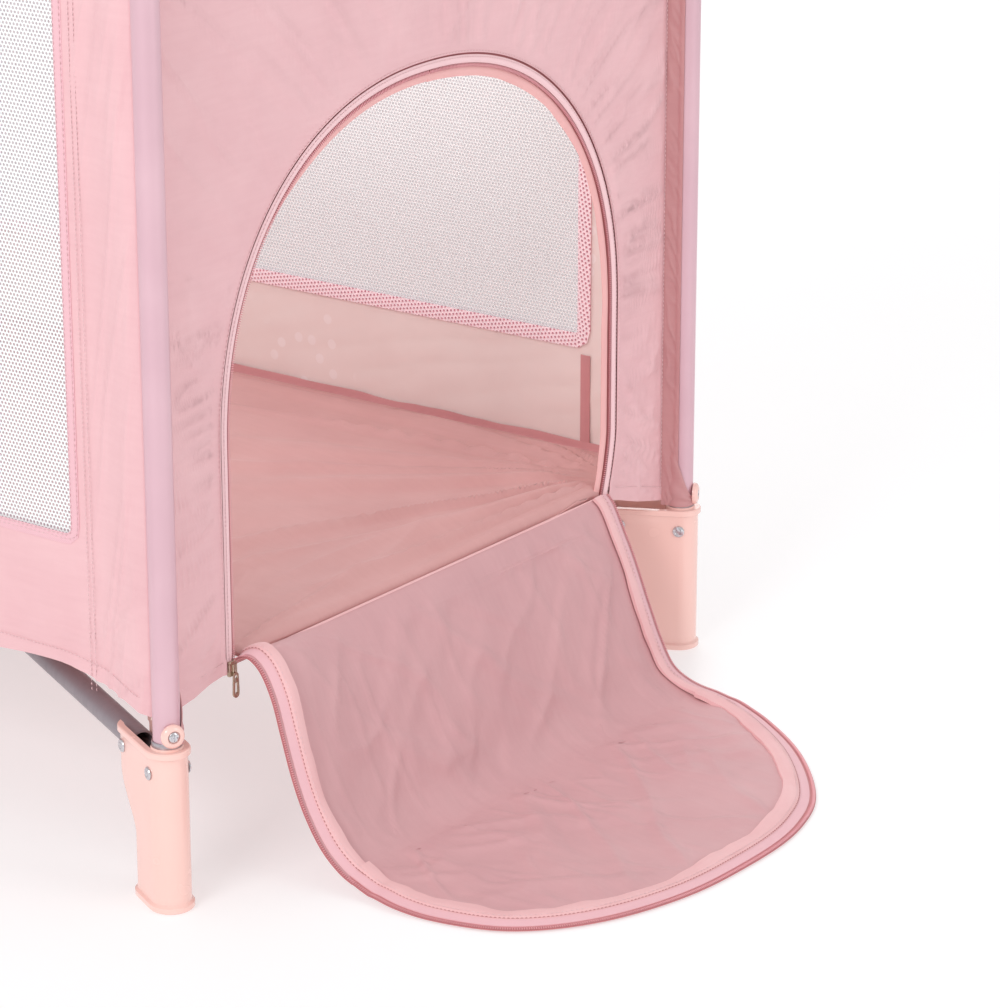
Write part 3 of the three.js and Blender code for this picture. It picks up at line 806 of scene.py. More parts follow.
def fork_cut(start, reach, material):
    return block(
        "channel", (start, -CHANNEL_HALF, RAIL_Z - EAR_RADIUS - 0.004),
        (reach + EAR_RADIUS + 0.004, CHANNEL_HALF, RAIL_Z + CHANNEL_HALF), material,
    )


def turned(obj, angle):
    obj.data.transform(Matrix.Rotation(angle, 4, "Z"))
    return obj


def corner_cap():
    """The cap's own frame: leg axis at the origin, long rail towards +X, end rail towards +Y."""
    peach, radius, seat = MAT["peach"], 0.014, RAIL_Z - 0.037
    crown = lathe("crown", [
        (0, seat), (radius - 0.0008, seat), (radius, seat + 0.001), (radius, HEIGHT - 0.009),
        (radius - 0.0006, HEIGHT - 0.0062), (radius - 0.0024, HEIGHT - 0.0032),
        (radius - 0.005, HEIGHT - 0.0012), (radius - 0.009, HEIGHT - 0.0002), (0, HEIGHT),
    ], peach, 40)
    cap = union(crown, fork_bar(CAP_REACH_X, peach), turned(fork_bar(CAP_REACH_Y, peach), math.pi / 2))
    channel = radius + 0.002
    bore = TUBE_RADIUS + 0.0003
    cut(cap, fork_cut(channel, CAP_REACH_X, peach),
        turned(fork_cut(channel, CAP_REACH_Y, peach), math.pi / 2),
        lathe("bore", [(0, seat - 0.002), (bore, seat - 0.002), (bore, LEG_TOP), (0, LEG_TOP)], peach, 48))
    return sharp_edges(bevelled(cap, 0.0007), 30)


def add_caps():
    for name, (sx, sy) in CORNERS.items():
        place = ((sx * HALF_LENGTH, sy * HALF_WIDTH, 0), 0, (-sx, -sy))
        placed(corner_cap(), f"cap_{name}", f"leg_{name}", "peach_plastic", place, f"corner_cap_{name}")


def rail_lock(reach):
    """The cap's fork upside down and doubled: a trough, open on top, with a round well."""
    peach, well = MAT["peach"], 0.0074
    bar = union(fork_bar(reach, peach), turned(fork_bar(reach, peach), math.pi))
    cut(bar, fork_cut(well + 0.003, reach, peach), turned(fork_cut(well + 0.003, reach, peach), math.pi))
    about = Matrix.Translation((0, 0, RAIL_Z))
    bar.data.transform(about @ Matrix.Rotation(math.pi, 4, "X") @ about.inverted())
    cut(bar, lathe("well", [(0, RAIL_Z - 0.03), (well, RAIL_Z - 0.03), (well, RAIL_Z + 0.03),
                            (0, RAIL_Z + 0.03)], peach, 32))
    return sharp_edges(bevelled(bar, 0.0008), 30)


def lock_button():
    low, top = RAIL_Z - 0.004, RAIL_Z + 0.0154
    return lathe("lock_button", [
        (0, low), (0.0068, low), (0.0068, top - 0.0024), (0.0062, top - 0.001), (0.0052, top - 0.0003),
        (0.0034, top - 0.0008), (0, top - 0.0013),
    ], MAT["grey"], 32)


def add_locks():
    for name, ((x, y), turn, reach) in LOCKS.items():
        place = ((x, y, 0), turn)
        placed(rail_lock(reach), f"lock_{name}", f"lock_{name}", "peach_plastic", place, f"rail_lock_{name}")
        placed(lock_button(), f"lock_press_button_{name}", f"lock_button_{name}", "hub_plastic", place,
               f"lock_button_{name}")


# ---- rails and their padded sleeves ----
def padded_sleeve(name, length, seed):
    """A padded tube of cloth round a rail, gathered at its ends, with a seam underneath."""
    nu, nv = 150, 56
    u, v = np.meshgrid(np.linspace(0, 1, nu), np.arange(nv) / nv, indexing="ij")
    run = length - 2 * SLEEVE_START
    along, turn = SLEEVE_START + u * run, v * 2 * math.pi
    edge = np.minimum(u, 1 - u) * run
    radius = 0.0156 - 0.0052 * (1 - ease(edge, 0, 0.006))
    radius = radius + 0.0007 * lumps(along / 0.05, v * 5, seed) * ease(edge, 0, 0.02)
    ridge = creases(along, v * 0.09, 0.5, 0.022, 0.06, seed + 3)
    radius = radius + 0.0009 * (ridge - 0.3) * ease(edge, 0.004, 0.03)
    gather = np.cos(turn * 13 + 2 * lumps(v * 9, u * 0, seed)) * (1 - ease(edge, 0.002, 0.022))
    radius = radius + 0.0005 * gather
    seam = np.exp(-(((v - 0.75) * 2 * math.pi * 0.015) / 0.0016) ** 2)
    radius = radius - 0.0012 * seam
    y, z = radius * np.cos(turn), radius * np.sin(turn)
    index = np.arange(nu * nv).reshape(nu, nv)
    right = np.roll(index, -1, axis=1)
    faces = np.stack([index[:-1], index[1:], right[1:], right[:-1]], -1).reshape(-1, 4)
    verts = np.stack([along.ravel(), y.ravel(), z.ravel()], 1)
    uvs = np.stack([along.ravel(), v.ravel() * 0.095], 1)
    sleeve = from_lists(name, verts, faces, MAT["padding"], True, uvs)
    return solidified(sleeve, 0.0046, -1.0)


def add_rails():
    for index, (name, (sx, sy)) in enumerate(CORNERS.items()):
        rows = (
            ("long", LONG_RAIL, (sx * (HALF_LENGTH - CAP_REACH_X), sy * HALF_WIDTH, RAIL_Z),
             math.pi if sx > 0 else 0),
            ("end", END_RAIL, (sx * HALF_LENGTH, sy * (HALF_WIDTH - CAP_REACH_Y), RAIL_Z),
             -sy * math.pi / 2),
        )
        for side, length, place, turn in rows:
            body = f"{side}_rail_{name}"
            rail = straight_tube(length, TUBE_RADIUS, MAT["rail"], FORK_OUT + 0.0001)
            placed(rail, f"{side}_rail_steel_{name}", body, "rail_tube", (place, turn), body)
            sleeve = padded_sleeve("sleeve", length, 11 * index + len(side))
            placed(sleeve, f"{side}_padding_{name}", body, "cover_fabric", (place, turn),
                   f"{side}_sleeve_{name}")


# ---- the centre hub ----
def add_hub():
    grey, top = MAT["grey"], 0.122
    disc = lathe("disc", [
        (0, 0.078), (0.024, 0.078), (0.024, 0.106), (0.06, top - 0.0075), (0.0712, top - 0.0068),
        (0.072, top - 0.006), (0.0715, top - 0.003), (0.0695, top - 0.0006), (0.067, top), (0, top),
    ], grey, 64)
    body = disc
    turns = [math.atan2(sy * SIN, sx * COS) for sx, sy in CORNERS.values()]
    for turn in turns:
        arm = block("arm", (0, -FORK_OUT, PIVOT_Z - 0.011), (HUB_REACH + 0.009, FORK_OUT, top - 0.003), grey)
        union(body, turned(arm, turn))
    for turn in turns:
        channel = block("channel", (HUB_REACH - 0.014, -CHANNEL_HALF, PIVOT_Z - 0.014),
                        (0.09, CHANNEL_HALF, top - 0.008), grey)
        cut(body, turned(channel, turn))
    body = sharp_edges(bevelled(body, 0.0009), 30)
    body.name = "hub_shell"
    hard(body, "hub", "hub_plastic", "hub_body")
    foot = lathe("hub_pedestal", [
        (0, 0), (0.0285, 0), (0.03, 0.0012), (0.03, 0.0046), (0.0285, 0.0062), (0.0235, 0.0112),
        (0.0212, 0.018), (0.0196, 0.03), (0.019, 0.042), (0.019, 0.0772), (0, 0.0776),
    ], grey, 56)
    hard(foot, "hub", "hub_plastic", "hub_foot")
    base = top + 0.0003
    cap = lathe("hub_lid", [
        (0, base), (0.0452, base), (0.046, base + 0.0008), (0.046, base + 0.0024), (0.0444, base + 0.0044),
        (0.038, base + 0.0064), (0.03, base + 0.0074), (0.0285, base + 0.0068), (0.027, base + 0.0076),
        (0.012, base + 0.0083), (0, base + 0.0084),
    ], MAT["peach"], 56)
    hard(cap, "hub", "peach_plastic", "hub_cap")
    add_pull_strap()


def add_pull_strap():
    """Webbing: a stem up through the slit in the floor cloth, folded over to lie on it."""
    foot, lie, end = 0.131, 0.1518, 0.095
    path = smoothed([
        (0, 0, foot), (0, 0, 0.139), (0.0004, 0, 0.1465), (0.0028, 0, 0.1508), (0.009, 0, lie + 0.0012),
        (0.03, 0, lie + 0.0006), (0.06, 0, lie + 0.0002), (end, 0, lie),
    ], 70)
    across = np.tile((0.0, 1.0, 0.0), (len(path), 1))
    half, thick = 0.0128, 0.0009
    section = [(-half, -thick), (-half - 0.0003, 0), (-half, thick), (0, thick * 1.2), (half, thick),
               (half + 0.0003, 0), (half, -thick), (0, -thick)]
    strap = ribbon("pull_strap_webbing", path, across, section, MAT["webbing"])
    rows = [stitch_line([(x, y, lie + 0.0012) for x in np.linspace(0.078, 0.092, 12)], (0, 0, 1))
            for y in (-0.0105, 0.0105)]
    rows += [stitch_line([(x, y, lie + 0.0012) for y in np.linspace(-0.0105, 0.0105, 12)], (0, 0, 1))
             for x in (0.078, 0.092)]
    strap = merged("pull_strap_webbing", [strap, *rows])
    hard(strap, "hub", "webbing", "pull_strap")


# ---- stitches ----
def link_faces(base):
    """The faces of one small arched link: three rows of four vertices, closed at both ends."""
    rows = [(base + ring + j, base + ring + (j + 1) % 4, base + ring + 4 + (j + 1) % 4, base + ring + 4 + j)
            for ring in (0, 4) for j in range(4)]
    return [*rows, (base + 3, base + 2, base + 1, base), (base + 8, base + 9, base + 10, base + 11)]


def stitch_line(points, normal, pitch=0.0034, length=0.0025, radius=0.0004, material=None):
    """A row of short thread stitches lying along a path on cloth with the given normal or normals."""
    points = np.asarray(points, float)
    normals = np.broadcast_to(np.asarray(normal, float), points.shape)
    total = np.linalg.norm(np.diff(points, axis=0), axis=1).sum()
    count = max(2, int(total / pitch))
    gap = running_length(points)
    at = (np.arange(count) + 0.5) * total / count
    sample = lambda data, where: np.stack([np.interp(where, gap, data[:, k]) for k in range(3)], 1)
    verts, faces = [], []
    start, middle, end = (sample(points, at + shift) for shift in (-length / 2, 0, length / 2))
    up = sample(normals, at)
    up /= np.linalg.norm(up, axis=1)[:, None]
    along = end - start
    along /= np.linalg.norm(along, axis=1)[:, None]
    side = np.cross(along, up)
    for k in range(count):
        base = len(verts)
        for centre, size, lift in ((start[k], 0.35, 0), (middle[k], 1, 0.6), (end[k], 0.35, 0)):
            for a, b in ((1, 0), (0.3, 0.9), (-0.3, 0.9), (-1, 0)):
                verts.append(centre + side[k] * a * radius * size + up[k] * radius * (b * size + lift))
        faces += link_faces(base)
    uvs = np.asarray(verts)[:, :2]
    return from_lists("stitches", verts, faces, material or MAT["thread"], True, uvs)


# ---- the cover ----
CORNER_X, CORNER_Y = 0.599, 0.3085  # where the long side meets the end, behind the leg
WINDOW_EDGE_X, WINDOW_LOW, WINDOW_HIGH = 0.523, 0.242, 0.655
REAR_WINDOW_EDGE = 0.226
SEAM_X = 0.536
STRIP_Y = 0.2970  # from here to the corner an end has a strip, darker with painted shade from the leg
TOP_Z = 0.7255
PANEL_TALL = 0.60  # a panel's cut height
HEM_STITCH = 0.0105  # from a hem's edge up to its stitches
ARCH_HALF, ARCH_SPRING, ARCH_RISE, ARCH_POWER = 0.2275, 0.300, 0.2225, 2.2
ARCH_LOW = 0.1425


def grid_on(name, us, vs, point, material, hole=None):
    """A sheet over the given cloth coordinates in metres; cells whose middle is in the hole are left out."""
    us, vs = np.asarray(us, float), np.asarray(vs, float)
    u, v = np.meshgrid(us, vs, indexing="ij")
    x, y, z = (np.broadcast_to(part, u.shape).ravel() for part in point(u, v))
    faces = grid_faces(*u.shape)
    if hole is not None:
        mu, mv = (us[1:] + us[:-1]) / 2, (vs[1:] + vs[:-1]) / 2
        inside = hole(*np.meshgrid(mu, mv, indexing="ij"))
        faces = faces[~inside]
    verts = np.stack([x, y, z], 1)
    obj = from_lists(name, verts, faces.reshape(-1, 4), material, True, np.stack([u.ravel(), v.ravel()], 1))
    bm = bmesh.new()
    bm.from_mesh(obj.data)
    bmesh.ops.delete(bm, geom=[v for v in bm.verts if not v.link_faces], context="VERTS")
    bm.to_mesh(obj.data)
    bm.free()
    return obj


def steps(*stops):
    """Evenly spaced numbers through the stops, given as value, count, value, count, value."""
    runs = [np.linspace(a, b, n, endpoint=False) for a, n, b in zip(stops[::2], stops[1::2], stops[2::2])]
    return np.concatenate([*runs, [stops[-1]]])


def long_y(x):
    """How far a long side stands from the centre: it is drawn out to the leg at the corner."""
    x = np.asarray(x, float)
    peak, radius = 0.3105, 0.002
    y = WALL_Y + (peak - WALL_Y) * ease(x, 0.542, 0.590)
    turn = np.clip(x - (CORNER_X - radius), 0, radius)
    return y - (radius - np.sqrt(np.maximum(radius ** 2 - turn ** 2, 0)))


def hem_z(reach, corner, drop=None):
    """Height of the hem at a distance from the middle; it drops towards the corner."""
    base, usual = (HEM_LONG, HEM_DROP_LONG) if corner == CORNER_X else (HEM_END, HEM_DROP_END)
    fall = np.clip((reach - corner + 0.09) / 0.09, 0, 1) ** 1.25
    middle = 0.008 if corner == CORNER_Y else 0.003
    return base + middle * (1 - ease(reach, 0, corner * 0.9)) - (usual if drop is None else drop) * fall


def long_wrinkles(x, z, seed):
    """Slack in a long side: folds drawn to the corner, short ones along the seam and the hem."""
    low = 1 - ease(z, 0.20, 0.30)
    high = ease(z, 0.60, 0.70)
    column = ease(np.abs(x), 0.52, 0.56)
    out = 0.0016 * lumps(x / 0.11, z / 0.13, seed) + 0.0007 * lumps(x / 0.03, z / 0.09, seed + 1)
    out = out + 0.0019 * column * creases(x, z, 1.35, 0.018, 0.20, seed + 2)
    out = out + 0.0012 * low * creases(x, z, 0.25, 0.02, 0.11, seed + 4)
    pull = creases(np.abs(x), z, 0.62, 0.016, 0.10, seed + 6) * ease(np.abs(x), 0.45, 0.58) * low
    out = out + 0.0017 * pull + 0.001 * high * creases(x, z, -0.3, 0.02, 0.12, seed + 8)
    return out


def window_rim(x, z, edge):
    """0 on the window's border, 1 away from it."""
    side = np.abs(x - edge)
    level = np.minimum(np.abs(z - WINDOW_LOW), np.abs(z - WINDOW_HIGH))
    outside = np.where(x < edge, level, np.hypot(side, level))
    return ease(np.where((z > WINDOW_LOW) & (z < WINDOW_HIGH), side, outside), 0.0, 0.02)


def panel_z(v, low):
    """Height on a panel: v runs from its hem at low (0) past the window (0.25 to 0.78) to its top (1)."""
    share = np.select([v < 0.25, v < 0.78], [v / 0.25, (v - 0.25) / 0.53], (v - 0.78) / 0.22)
    return np.select(
        [v < 0.25, v < 0.78],
        [low + (WINDOW_LOW - low) * share, WINDOW_LOW + (WINDOW_HIGH - WINDOW_LOW) * share],
        WINDOW_HIGH + (TOP_Z - WINDOW_HIGH) * share,
    )


def hem_ridge(z, low):
    """The fold of a hem stands a little proud of the panel above it."""
    return 0.0009 * (1 - ease(z - low, 0.009, 0.012))


def top_roll(z, inset):
    """The cover's outer cloth leans out to the rail at its top."""
    return 0.008 * ease(z, TOP_Z - 0.022, TOP_Z) * (inset < 0.001)


def window_trim(path, inward):
    """The mesh border round a window on the inside, with its backing."""
    path[:, 2] = np.clip(path[:, 2], WINDOW_LOW - 0.006, WINDOW_HIGH + 0.006)
    behind = path - 0.0012 * np.array(inward, float)
    return [strip("trim", path, inward, -0.006, 0.006, 0.0005, MAT["trim"]),
            strip("backing", behind, inward, -0.0055, 0.0055, 0.0003, MAT["trim_back"])]


def add_window(name, body, edge, columns, slack, seed, place, out, squeeze):
    """Half a mesh window, slack in its middle; place(u, out, v) puts it on its panel."""
    us, vs = np.linspace(0, edge + 0.006, columns), np.linspace(WINDOW_LOW - 0.007, WINDOW_HIGH + 0.007, 56)

    def point(u, v):
        inner = ease(edge - u, 0, 0.05) * ease(v - WINDOW_LOW, 0, 0.04) * ease(WINDOW_HIGH - v, 0, 0.04)
        return place(u, slack * lumps(u / 0.16, v / 0.2, seed + 9) * inner - 0.0018, v)

    window = grid_on(name, us, vs, point, MAT["mesh"])
    soft(solidified(facing(window, out), 0.0005), body, "cover_fabric", *squeeze)


def long_sheet(name, sx, sy, inset, material, seed, calm=1.0):
    """The fabric of half a long side, round its window; inset is how far inside the outer face it lies."""
    us = steps(0.0, 60, WINDOW_EDGE_X, 44, CORNER_X)
    vs = steps(0.0, 26, 0.25, 76, 0.78, 22, 1.0)

    def point(u, v):
        low = hem_z(u, CORNER_X)
        z = panel_z(v, low)
        rim = window_rim(u, z, WINDOW_EDGE_X)
        free = rim * ease(CORNER_X - u, 0.0, 0.012) * ease(TOP_Z - z, 0, 0.02)
        y = long_y(u) - inset + calm * free * long_wrinkles(sx * u, z, seed) + hem_ridge(z, low)
        y = y + top_roll(z, inset)
        wave = 0.0011 * np.sin(u * 55 + seed) * (1 - ease(z - low, 0, 0.05))
        return sx * u, sy * y, z + wave * calm

    hole = lambda u, v: (u < WINDOW_EDGE_X) & (v > 0.25) & (v < 0.78)
    obj = grid_on(name, us, vs, point, material, hole)
    return solidified(facing(lay_uv(obj, (0, 2)), (0, sy, 0)), 0.0008)


def lay_uv(obj, axes, signs=(1, 1)):
    """Takes the cloth coordinates straight from two of the vertex coordinates."""
    co = np.zeros(len(obj.data.vertices) * 3, np.float32)
    obj.data.vertices.foreach_get("co", co)
    index = np.zeros(len(obj.data.loops), int)
    obj.data.loops.foreach_get("vertex_index", index)
    obj.data.uv_layers[UV].data.foreach_set("uv", (co.reshape(-1, 3)[:, list(axes)][index] * signs).ravel())
    return obj


def facing(obj, direction):
    """Turns the faces so that they look mostly in the direction."""
    mesh = obj.data
    total = Vector((0, 0, 0))
    for polygon in mesh.polygons:
        total += polygon.normal * polygon.area
    if total.dot(Vector(direction)) < 0:
        mesh.flip_normals()
    return obj


def strip(name, points, normals, low, high, thickness, material):
    """A flat tape beside a path, over the offsets low to high to the left of it as seen from outside."""
    points = np.asarray(points, float)
    normals = np.broadcast_to(np.asarray(normals, float), points.shape)
    side = np.cross(normals, frames_along(points))
    side /= np.linalg.norm(side, axis=1)[:, None]
    count = 7
    across = np.linspace(low, high, count)
    crown = np.sin(np.linspace(0, math.pi, count)) ** 0.5 * thickness
    verts = (points[:, None] + side[:, None] * across[None, :, None]
             + normals[:, None] * crown[None, :, None]).reshape(-1, 3)
    uvs = np.stack([np.repeat(running_length(points), count), np.tile(across, len(points))], 1)
    faces = grid_faces(len(points), count).reshape(-1, 4)
    return solidified(from_lists(name, verts, faces, material, True, uvs), 0.0006)


def window_path(sx, sy, edge, out):
    """Half the outline of a long side's window: from its middle below, round the corner, to the top."""
    corner = 0.008
    turn = [(edge - corner + corner * math.sin(a), WINDOW_LOW + corner - corner * math.cos(a))
            for a in np.linspace(0, math.pi / 2, 6)]
    back = [(x, WINDOW_LOW + WINDOW_HIGH - z) for x, z in reversed(turn)]
    flat = [(0.0, WINDOW_LOW), *turn, *back, (0.0, WINDOW_HIGH)]
    path = resampled(flat, 220)
    return np.stack([sx * path[:, 0], np.full(len(path), sy * out), path[:, 1]], 1)


def along_long(sx, sy, points, out):
    """Points (x, z) laid on a long side, out from its face."""
    points = np.asarray(points, float)
    return np.stack([sx * points[:, 0], sy * (long_y(points[:, 0]) + out), points[:, 1]], 1)


def long_cover(name, sx, sy, seed):
    """The outer fabric of half a long side, with its window's border and its stitches."""
    out, turn = (0, sy, 0), sx * sy
    sheet = long_sheet(f"side_{name}", sx, sy, 0.0, MAT["cover"], seed)
    border = strip("border", window_path(sx, sy, WINDOW_EDGE_X, WALL_Y + 0.0004), out,
                   -0.0035 * turn, 0.0040 * turn, 0.0007, MAT["border"])
    rows = [stitch_line(along_long(sx, sy, [(x, z) for z in np.linspace(0.136, 0.718, 60)], 0.0011), out)
            for x in (SEAM_X - 0.0022, SEAM_X + 0.0022)]
    hem = [(x, hem_z(x, CORNER_X) + HEM_STITCH) for x in np.linspace(0.0, CORNER_X - 0.006, 90)]
    rows.append(stitch_line(along_long(sx, sy, hem, 0.0014), out))
    for offset in (-0.0026, 0.0031):
        path = window_path(sx, sy, WINDOW_EDGE_X + offset, WALL_Y + 0.0013)
        path[:, 2] = np.clip(path[:, 2], WINDOW_LOW - offset, WINDOW_HIGH + offset)
        rows.append(stitch_line(path, out, 0.004))
    return merged(f"side_{name}", [sheet, border, *rows])


def long_lining(name, sx, sy, seed):
    """The cloth inside half a long side, with the seam tape beside its window and the window's trim."""
    sheet = long_sheet(f"side_lining_{name}", sx, sy, 0.0036, MAT["lining"], seed + 20, 0.5)
    x, y = sx * (WINDOW_EDGE_X + 0.0055), sy * (WALL_Y - 0.0048)
    tape = strip("tape", [(x, y, z) for z in np.linspace(0.151, 0.231, 20)], (0, -sy, 0),
                 -0.0045, 0.0045, 0.0006, MAT["gusset"])
    trim = window_trim(window_path(sx, sy, WINDOW_EDGE_X + 0.004, WALL_Y - 0.0052), (0, -sy, 0))
    return merged(f"side_lining_{name}", [sheet, tape, *trim])


def add_long_side(name, sx, sy, seed):
    body, squeeze = f"leg_{name}", ((1, 0, 0), (sx * CORNER_X, 0, 0), KEEP_LONG)
    sheet = soft(long_cover(name, sx, sy, seed), body, "cover_fabric", *squeeze, f"cover_{name}")
    lining = soft(long_lining(name, sx, sy, seed), body, "cover_fabric", *squeeze)
    add_window(f"side_window_{name}", body, WINDOW_EDGE_X, 70, 0.0022, seed,
               lambda u, sag, v: (sx * u, sy * (WALL_Y + sag), v), (0, sy, 0), squeeze)


def end_wrinkles(y, z, seed, door):
    """Slack in an end: folds that fan from the corners and short level ones beside the arch."""
    reach = np.abs(y)
    out = 0.0018 * lumps(y / 0.10, z / 0.14, seed) + 0.0006 * lumps(y / 0.05, z / 0.025, seed + 1)
    upper, lower = ease(z, 0.42, 0.62), 1 - ease(z, 0.19, 0.30)
    far, turn = np.hypot(reach - 0.02, z - 0.33), np.arctan2(z - 0.33, reach - 0.02)
    for sign in (-1, 1):
        here = np.clip(sign * y / 0.02, 0, 1)
        out = out + here * upper * 0.0024 * creases(y, z, sign * 0.75, 0.024, 0.16, seed + 3)
        radial = 0.0020 if sign > 0 else 0.0005
        out = out + here * radial * creases(far, turn * 0.22, 0.0, 0.013, 0.09, seed + 5)
        out = out + here * lower * 0.0022 * creases(y, z, sign * -0.62, 0.018, 0.08, seed + 7)
    if door:
        out = out + 0.0012 * creases(y, z, 0.12, 0.011, 0.06, seed + 9) * ease(0.46 - z, 0, 0.08)
    return out


def end_x(y):
    """How far an end's outer face stands from the centre."""
    return WALL_X + (CORNER_X - WALL_X) * ease(np.abs(y), 0.27, CORNER_Y)


def arch_line(count, offset=0.0, low=ARCH_LOW):
    """(y, z) and outward (y, z) along the door's arch from one foot, over the top, to the other."""
    a, b = ARCH_HALF + offset, ARCH_RISE + offset
    angles = np.linspace(math.pi, 0, 240)
    c, s = np.cos(angles), np.sin(angles)
    y = a * np.sign(c) * np.abs(c) ** (2 / ARCH_POWER)
    z = ARCH_SPRING + b * s ** (2 / ARCH_POWER)
    line = np.concatenate([[[-a, low]], np.stack([y, z], 1), [[a, low]]])
    line = resampled(line, count)
    line[:, 0] -= 0.0085 * (line[:, 0] > 0) * np.clip((0.200 - line[:, 1]) / 0.045, 0, 1.25) ** 1.5
    step = np.gradient(line, axis=0)
    step /= np.linalg.norm(step, axis=1)[:, None]
    return line, np.stack([-step[:, 1], step[:, 0]], 1)


def door_sheet(name, sy, inset, material, seed, calm=1.0):
    """Half the door end, lofted from the arch out to the corner, the hem and the top edge."""
    n_t, n_s, bend = (190, 84, 0.60) if calm == 1.0 else (120, 40, 0.60)
    arch, _ = arch_line(2 * n_t - 1, 0.0074 if inset < 0.001 else 0.004)
    inner = arch[n_t - 1:][::-1] if sy > 0 else arch[:n_t]
    inner = np.abs(inner[:, :1]) * [[1, 0]] + inner[:, 1:] * [[0, 1]]
    corner_row = int(bend * (n_t - 1))
    side = np.stack([np.full(corner_row + 1, CORNER_Y),
                     np.linspace(hem_z(CORNER_Y, CORNER_Y, DOOR_DROP[sy]), TOP_Z, corner_row + 1)], 1)
    top = np.stack([np.linspace(CORNER_Y, 0, n_t - corner_row), np.full(n_t - corner_row, TOP_Z)], 1)
    outer = np.concatenate([side, top[1:]])
    t, s = np.meshgrid(np.arange(n_t), np.linspace(0, 1, n_s), indexing="ij")
    reach = inner[t, 0] * (1 - s) + outer[t, 0] * s
    z = inner[t, 1] * (1 - s) + outer[t, 1] * s
    y = sy * reach
    edge = s * np.hypot(outer[t, 0] - inner[t, 0], outer[t, 1] - inner[t, 1])
    free = ease(edge, 0.002, 0.016) * ease(STRIP_Y - reach, 0, 0.008) * ease(TOP_Z - z, 0, 0.02)
    hem = hem_ridge(z, hem_z(reach, CORNER_Y, DOOR_DROP[sy]))
    fold = 0.0016 * np.exp(-((edge - 0.0012) / 0.0016) ** 2)
    x = end_x(y) - inset + calm * free * end_wrinkles(y, z, seed, True) + (hem + fold) * calm
    x = x + top_roll(z, inset)
    z = z + calm * 0.0010 * np.sin(reach * 70 + seed) * (1 - ease(z - 0.13, 0, 0.05))
    verts = np.stack([x.ravel(), y.ravel(), z.ravel()], 1)
    obj = from_lists(name, verts, grid_faces(n_t, n_s).reshape(-1, 4), material, True, verts[:, 1:3])
    return solidified(facing(obj, (1, 0, 0)), 0.0008)


def arch_path(sy, offset, out, low=ARCH_LOW):
    """Half the arch on the door end, from the sill up to the top, as points and outward directions."""
    count = 300
    line, normal = arch_line(2 * count - 1, 0.0, low)
    picked = slice(count - 1, None) if sy > 0 else slice(None, count)
    line, normal = line[picked], normal[picked]
    if sy > 0:
        line, normal = line[::-1], normal[::-1]
    line = line + normal * offset
    points = np.stack([end_x(line[:, 0]) + out, line[:, 0], line[:, 1]], 1)
    return points, np.stack([np.zeros(count), normal[:, 0], normal[:, 1]], 1)


TOOTH_PITCH = 0.0016


def teeth_row(name, points, across, normal, size=(0.0028, 0.0009, 0.0010), phase=0.0):
    """Coil-zip teeth: one rounded link per pitch, reaching across from the path."""
    points, across = np.asarray(points, float), np.asarray(across, float)
    normals = np.broadcast_to(np.asarray(normal, float), points.shape)
    gap = running_length(points)
    at = np.arange(TOOTH_PITCH * (0.5 + phase), gap[-1], TOOTH_PITCH)
    pick = lambda data: np.stack([np.interp(at, gap, data[:, k]) for k in range(3)], 1)
    centre, side, up = pick(points), pick(across), pick(normals)
    along = np.cross(side, up)
    reach, wide, tall = size
    verts, faces = [], []
    for k in range(len(at)):
        base = len(verts)
        for r, w, h in ((0, 0.8, 0.5), (0.5, 1, 1.0), (1, 0.8, 0.5)):
            for a, b in ((1, 0), (0.7, 0.8), (-0.7, 0.8), (-1, 0)):
                verts.append(centre[k] + side[k] * (r * reach) + along[k] * (a * w * wide / 2)
                             + up[k] * (b * h * tall))
        faces += link_faces(base)
    return from_lists(name, verts, faces, MAT["teeth"], True, np.asarray(verts)[:, 1:3])


def corner_strip(sy, seed):
    """The strip between an end's last seam and the leg, drawn round the leg's inner side; its darker tone is
    painted shade from the leg.
    """
    wrap = TUBE_RADIUS + 0.0007
    turns = np.radians([-8, 2, 11, 19])
    path = [(WALL_X + 0.0016, STRIP_Y), (WALL_X + 0.0046, STRIP_Y + 0.0010)]
    path += [(HALF_LENGTH + wrap * math.sin(a), HALF_WIDTH - wrap * math.cos(a)) for a in turns]
    path = smoothed(path, 40)
    us, vs = np.linspace(0, 1, 24), np.linspace(0.1195, 0.7245, 320)

    def point(u, v):
        x, y = (np.interp(u * 39, np.arange(40), path[:, k]) for k in (0, 1))
        slant = creases(u * 0.02, v, 2.2, 0.008, 0.03, seed + 15)
        inward = 0.0010 * slant * np.sin(u * math.pi)
        return x, sy * (y - inward), v

    sheet = lay_uv(grid_on("strip", us, vs, point, MAT["strip"]), (0, 2))
    return solidified(facing(sheet, (0, -sy, 0)), 0.0006)


def door_cover(name, sy, seed):
    """The outer fabric of half the door end, with its corner strip and its stitches."""
    out = (1, 0, 0)
    sheet = door_sheet(f"door_end_{name}", sy, 0.0, MAT["cover"], seed)
    column = [(CORNER_X + 0.0012, sy * (STRIP_Y - 0.0016), z) for z in np.linspace(0.128, 0.716, 120)]
    hem = [(end_x(y) + 0.0016, sy * y, hem_z(y, CORNER_Y, DOOR_DROP[sy]) + HEM_STITCH)
           for y in np.linspace(0.234, CORNER_Y - 0.008, 16)]
    rows = [stitch_line(column, out), stitch_line(hem, out),
            stitch_line(arch_path(sy, 0.0088, 0.0016)[0], out, 0.0036)]
    return merged(f"door_end_{name}", [sheet, corner_strip(sy, seed), *rows])


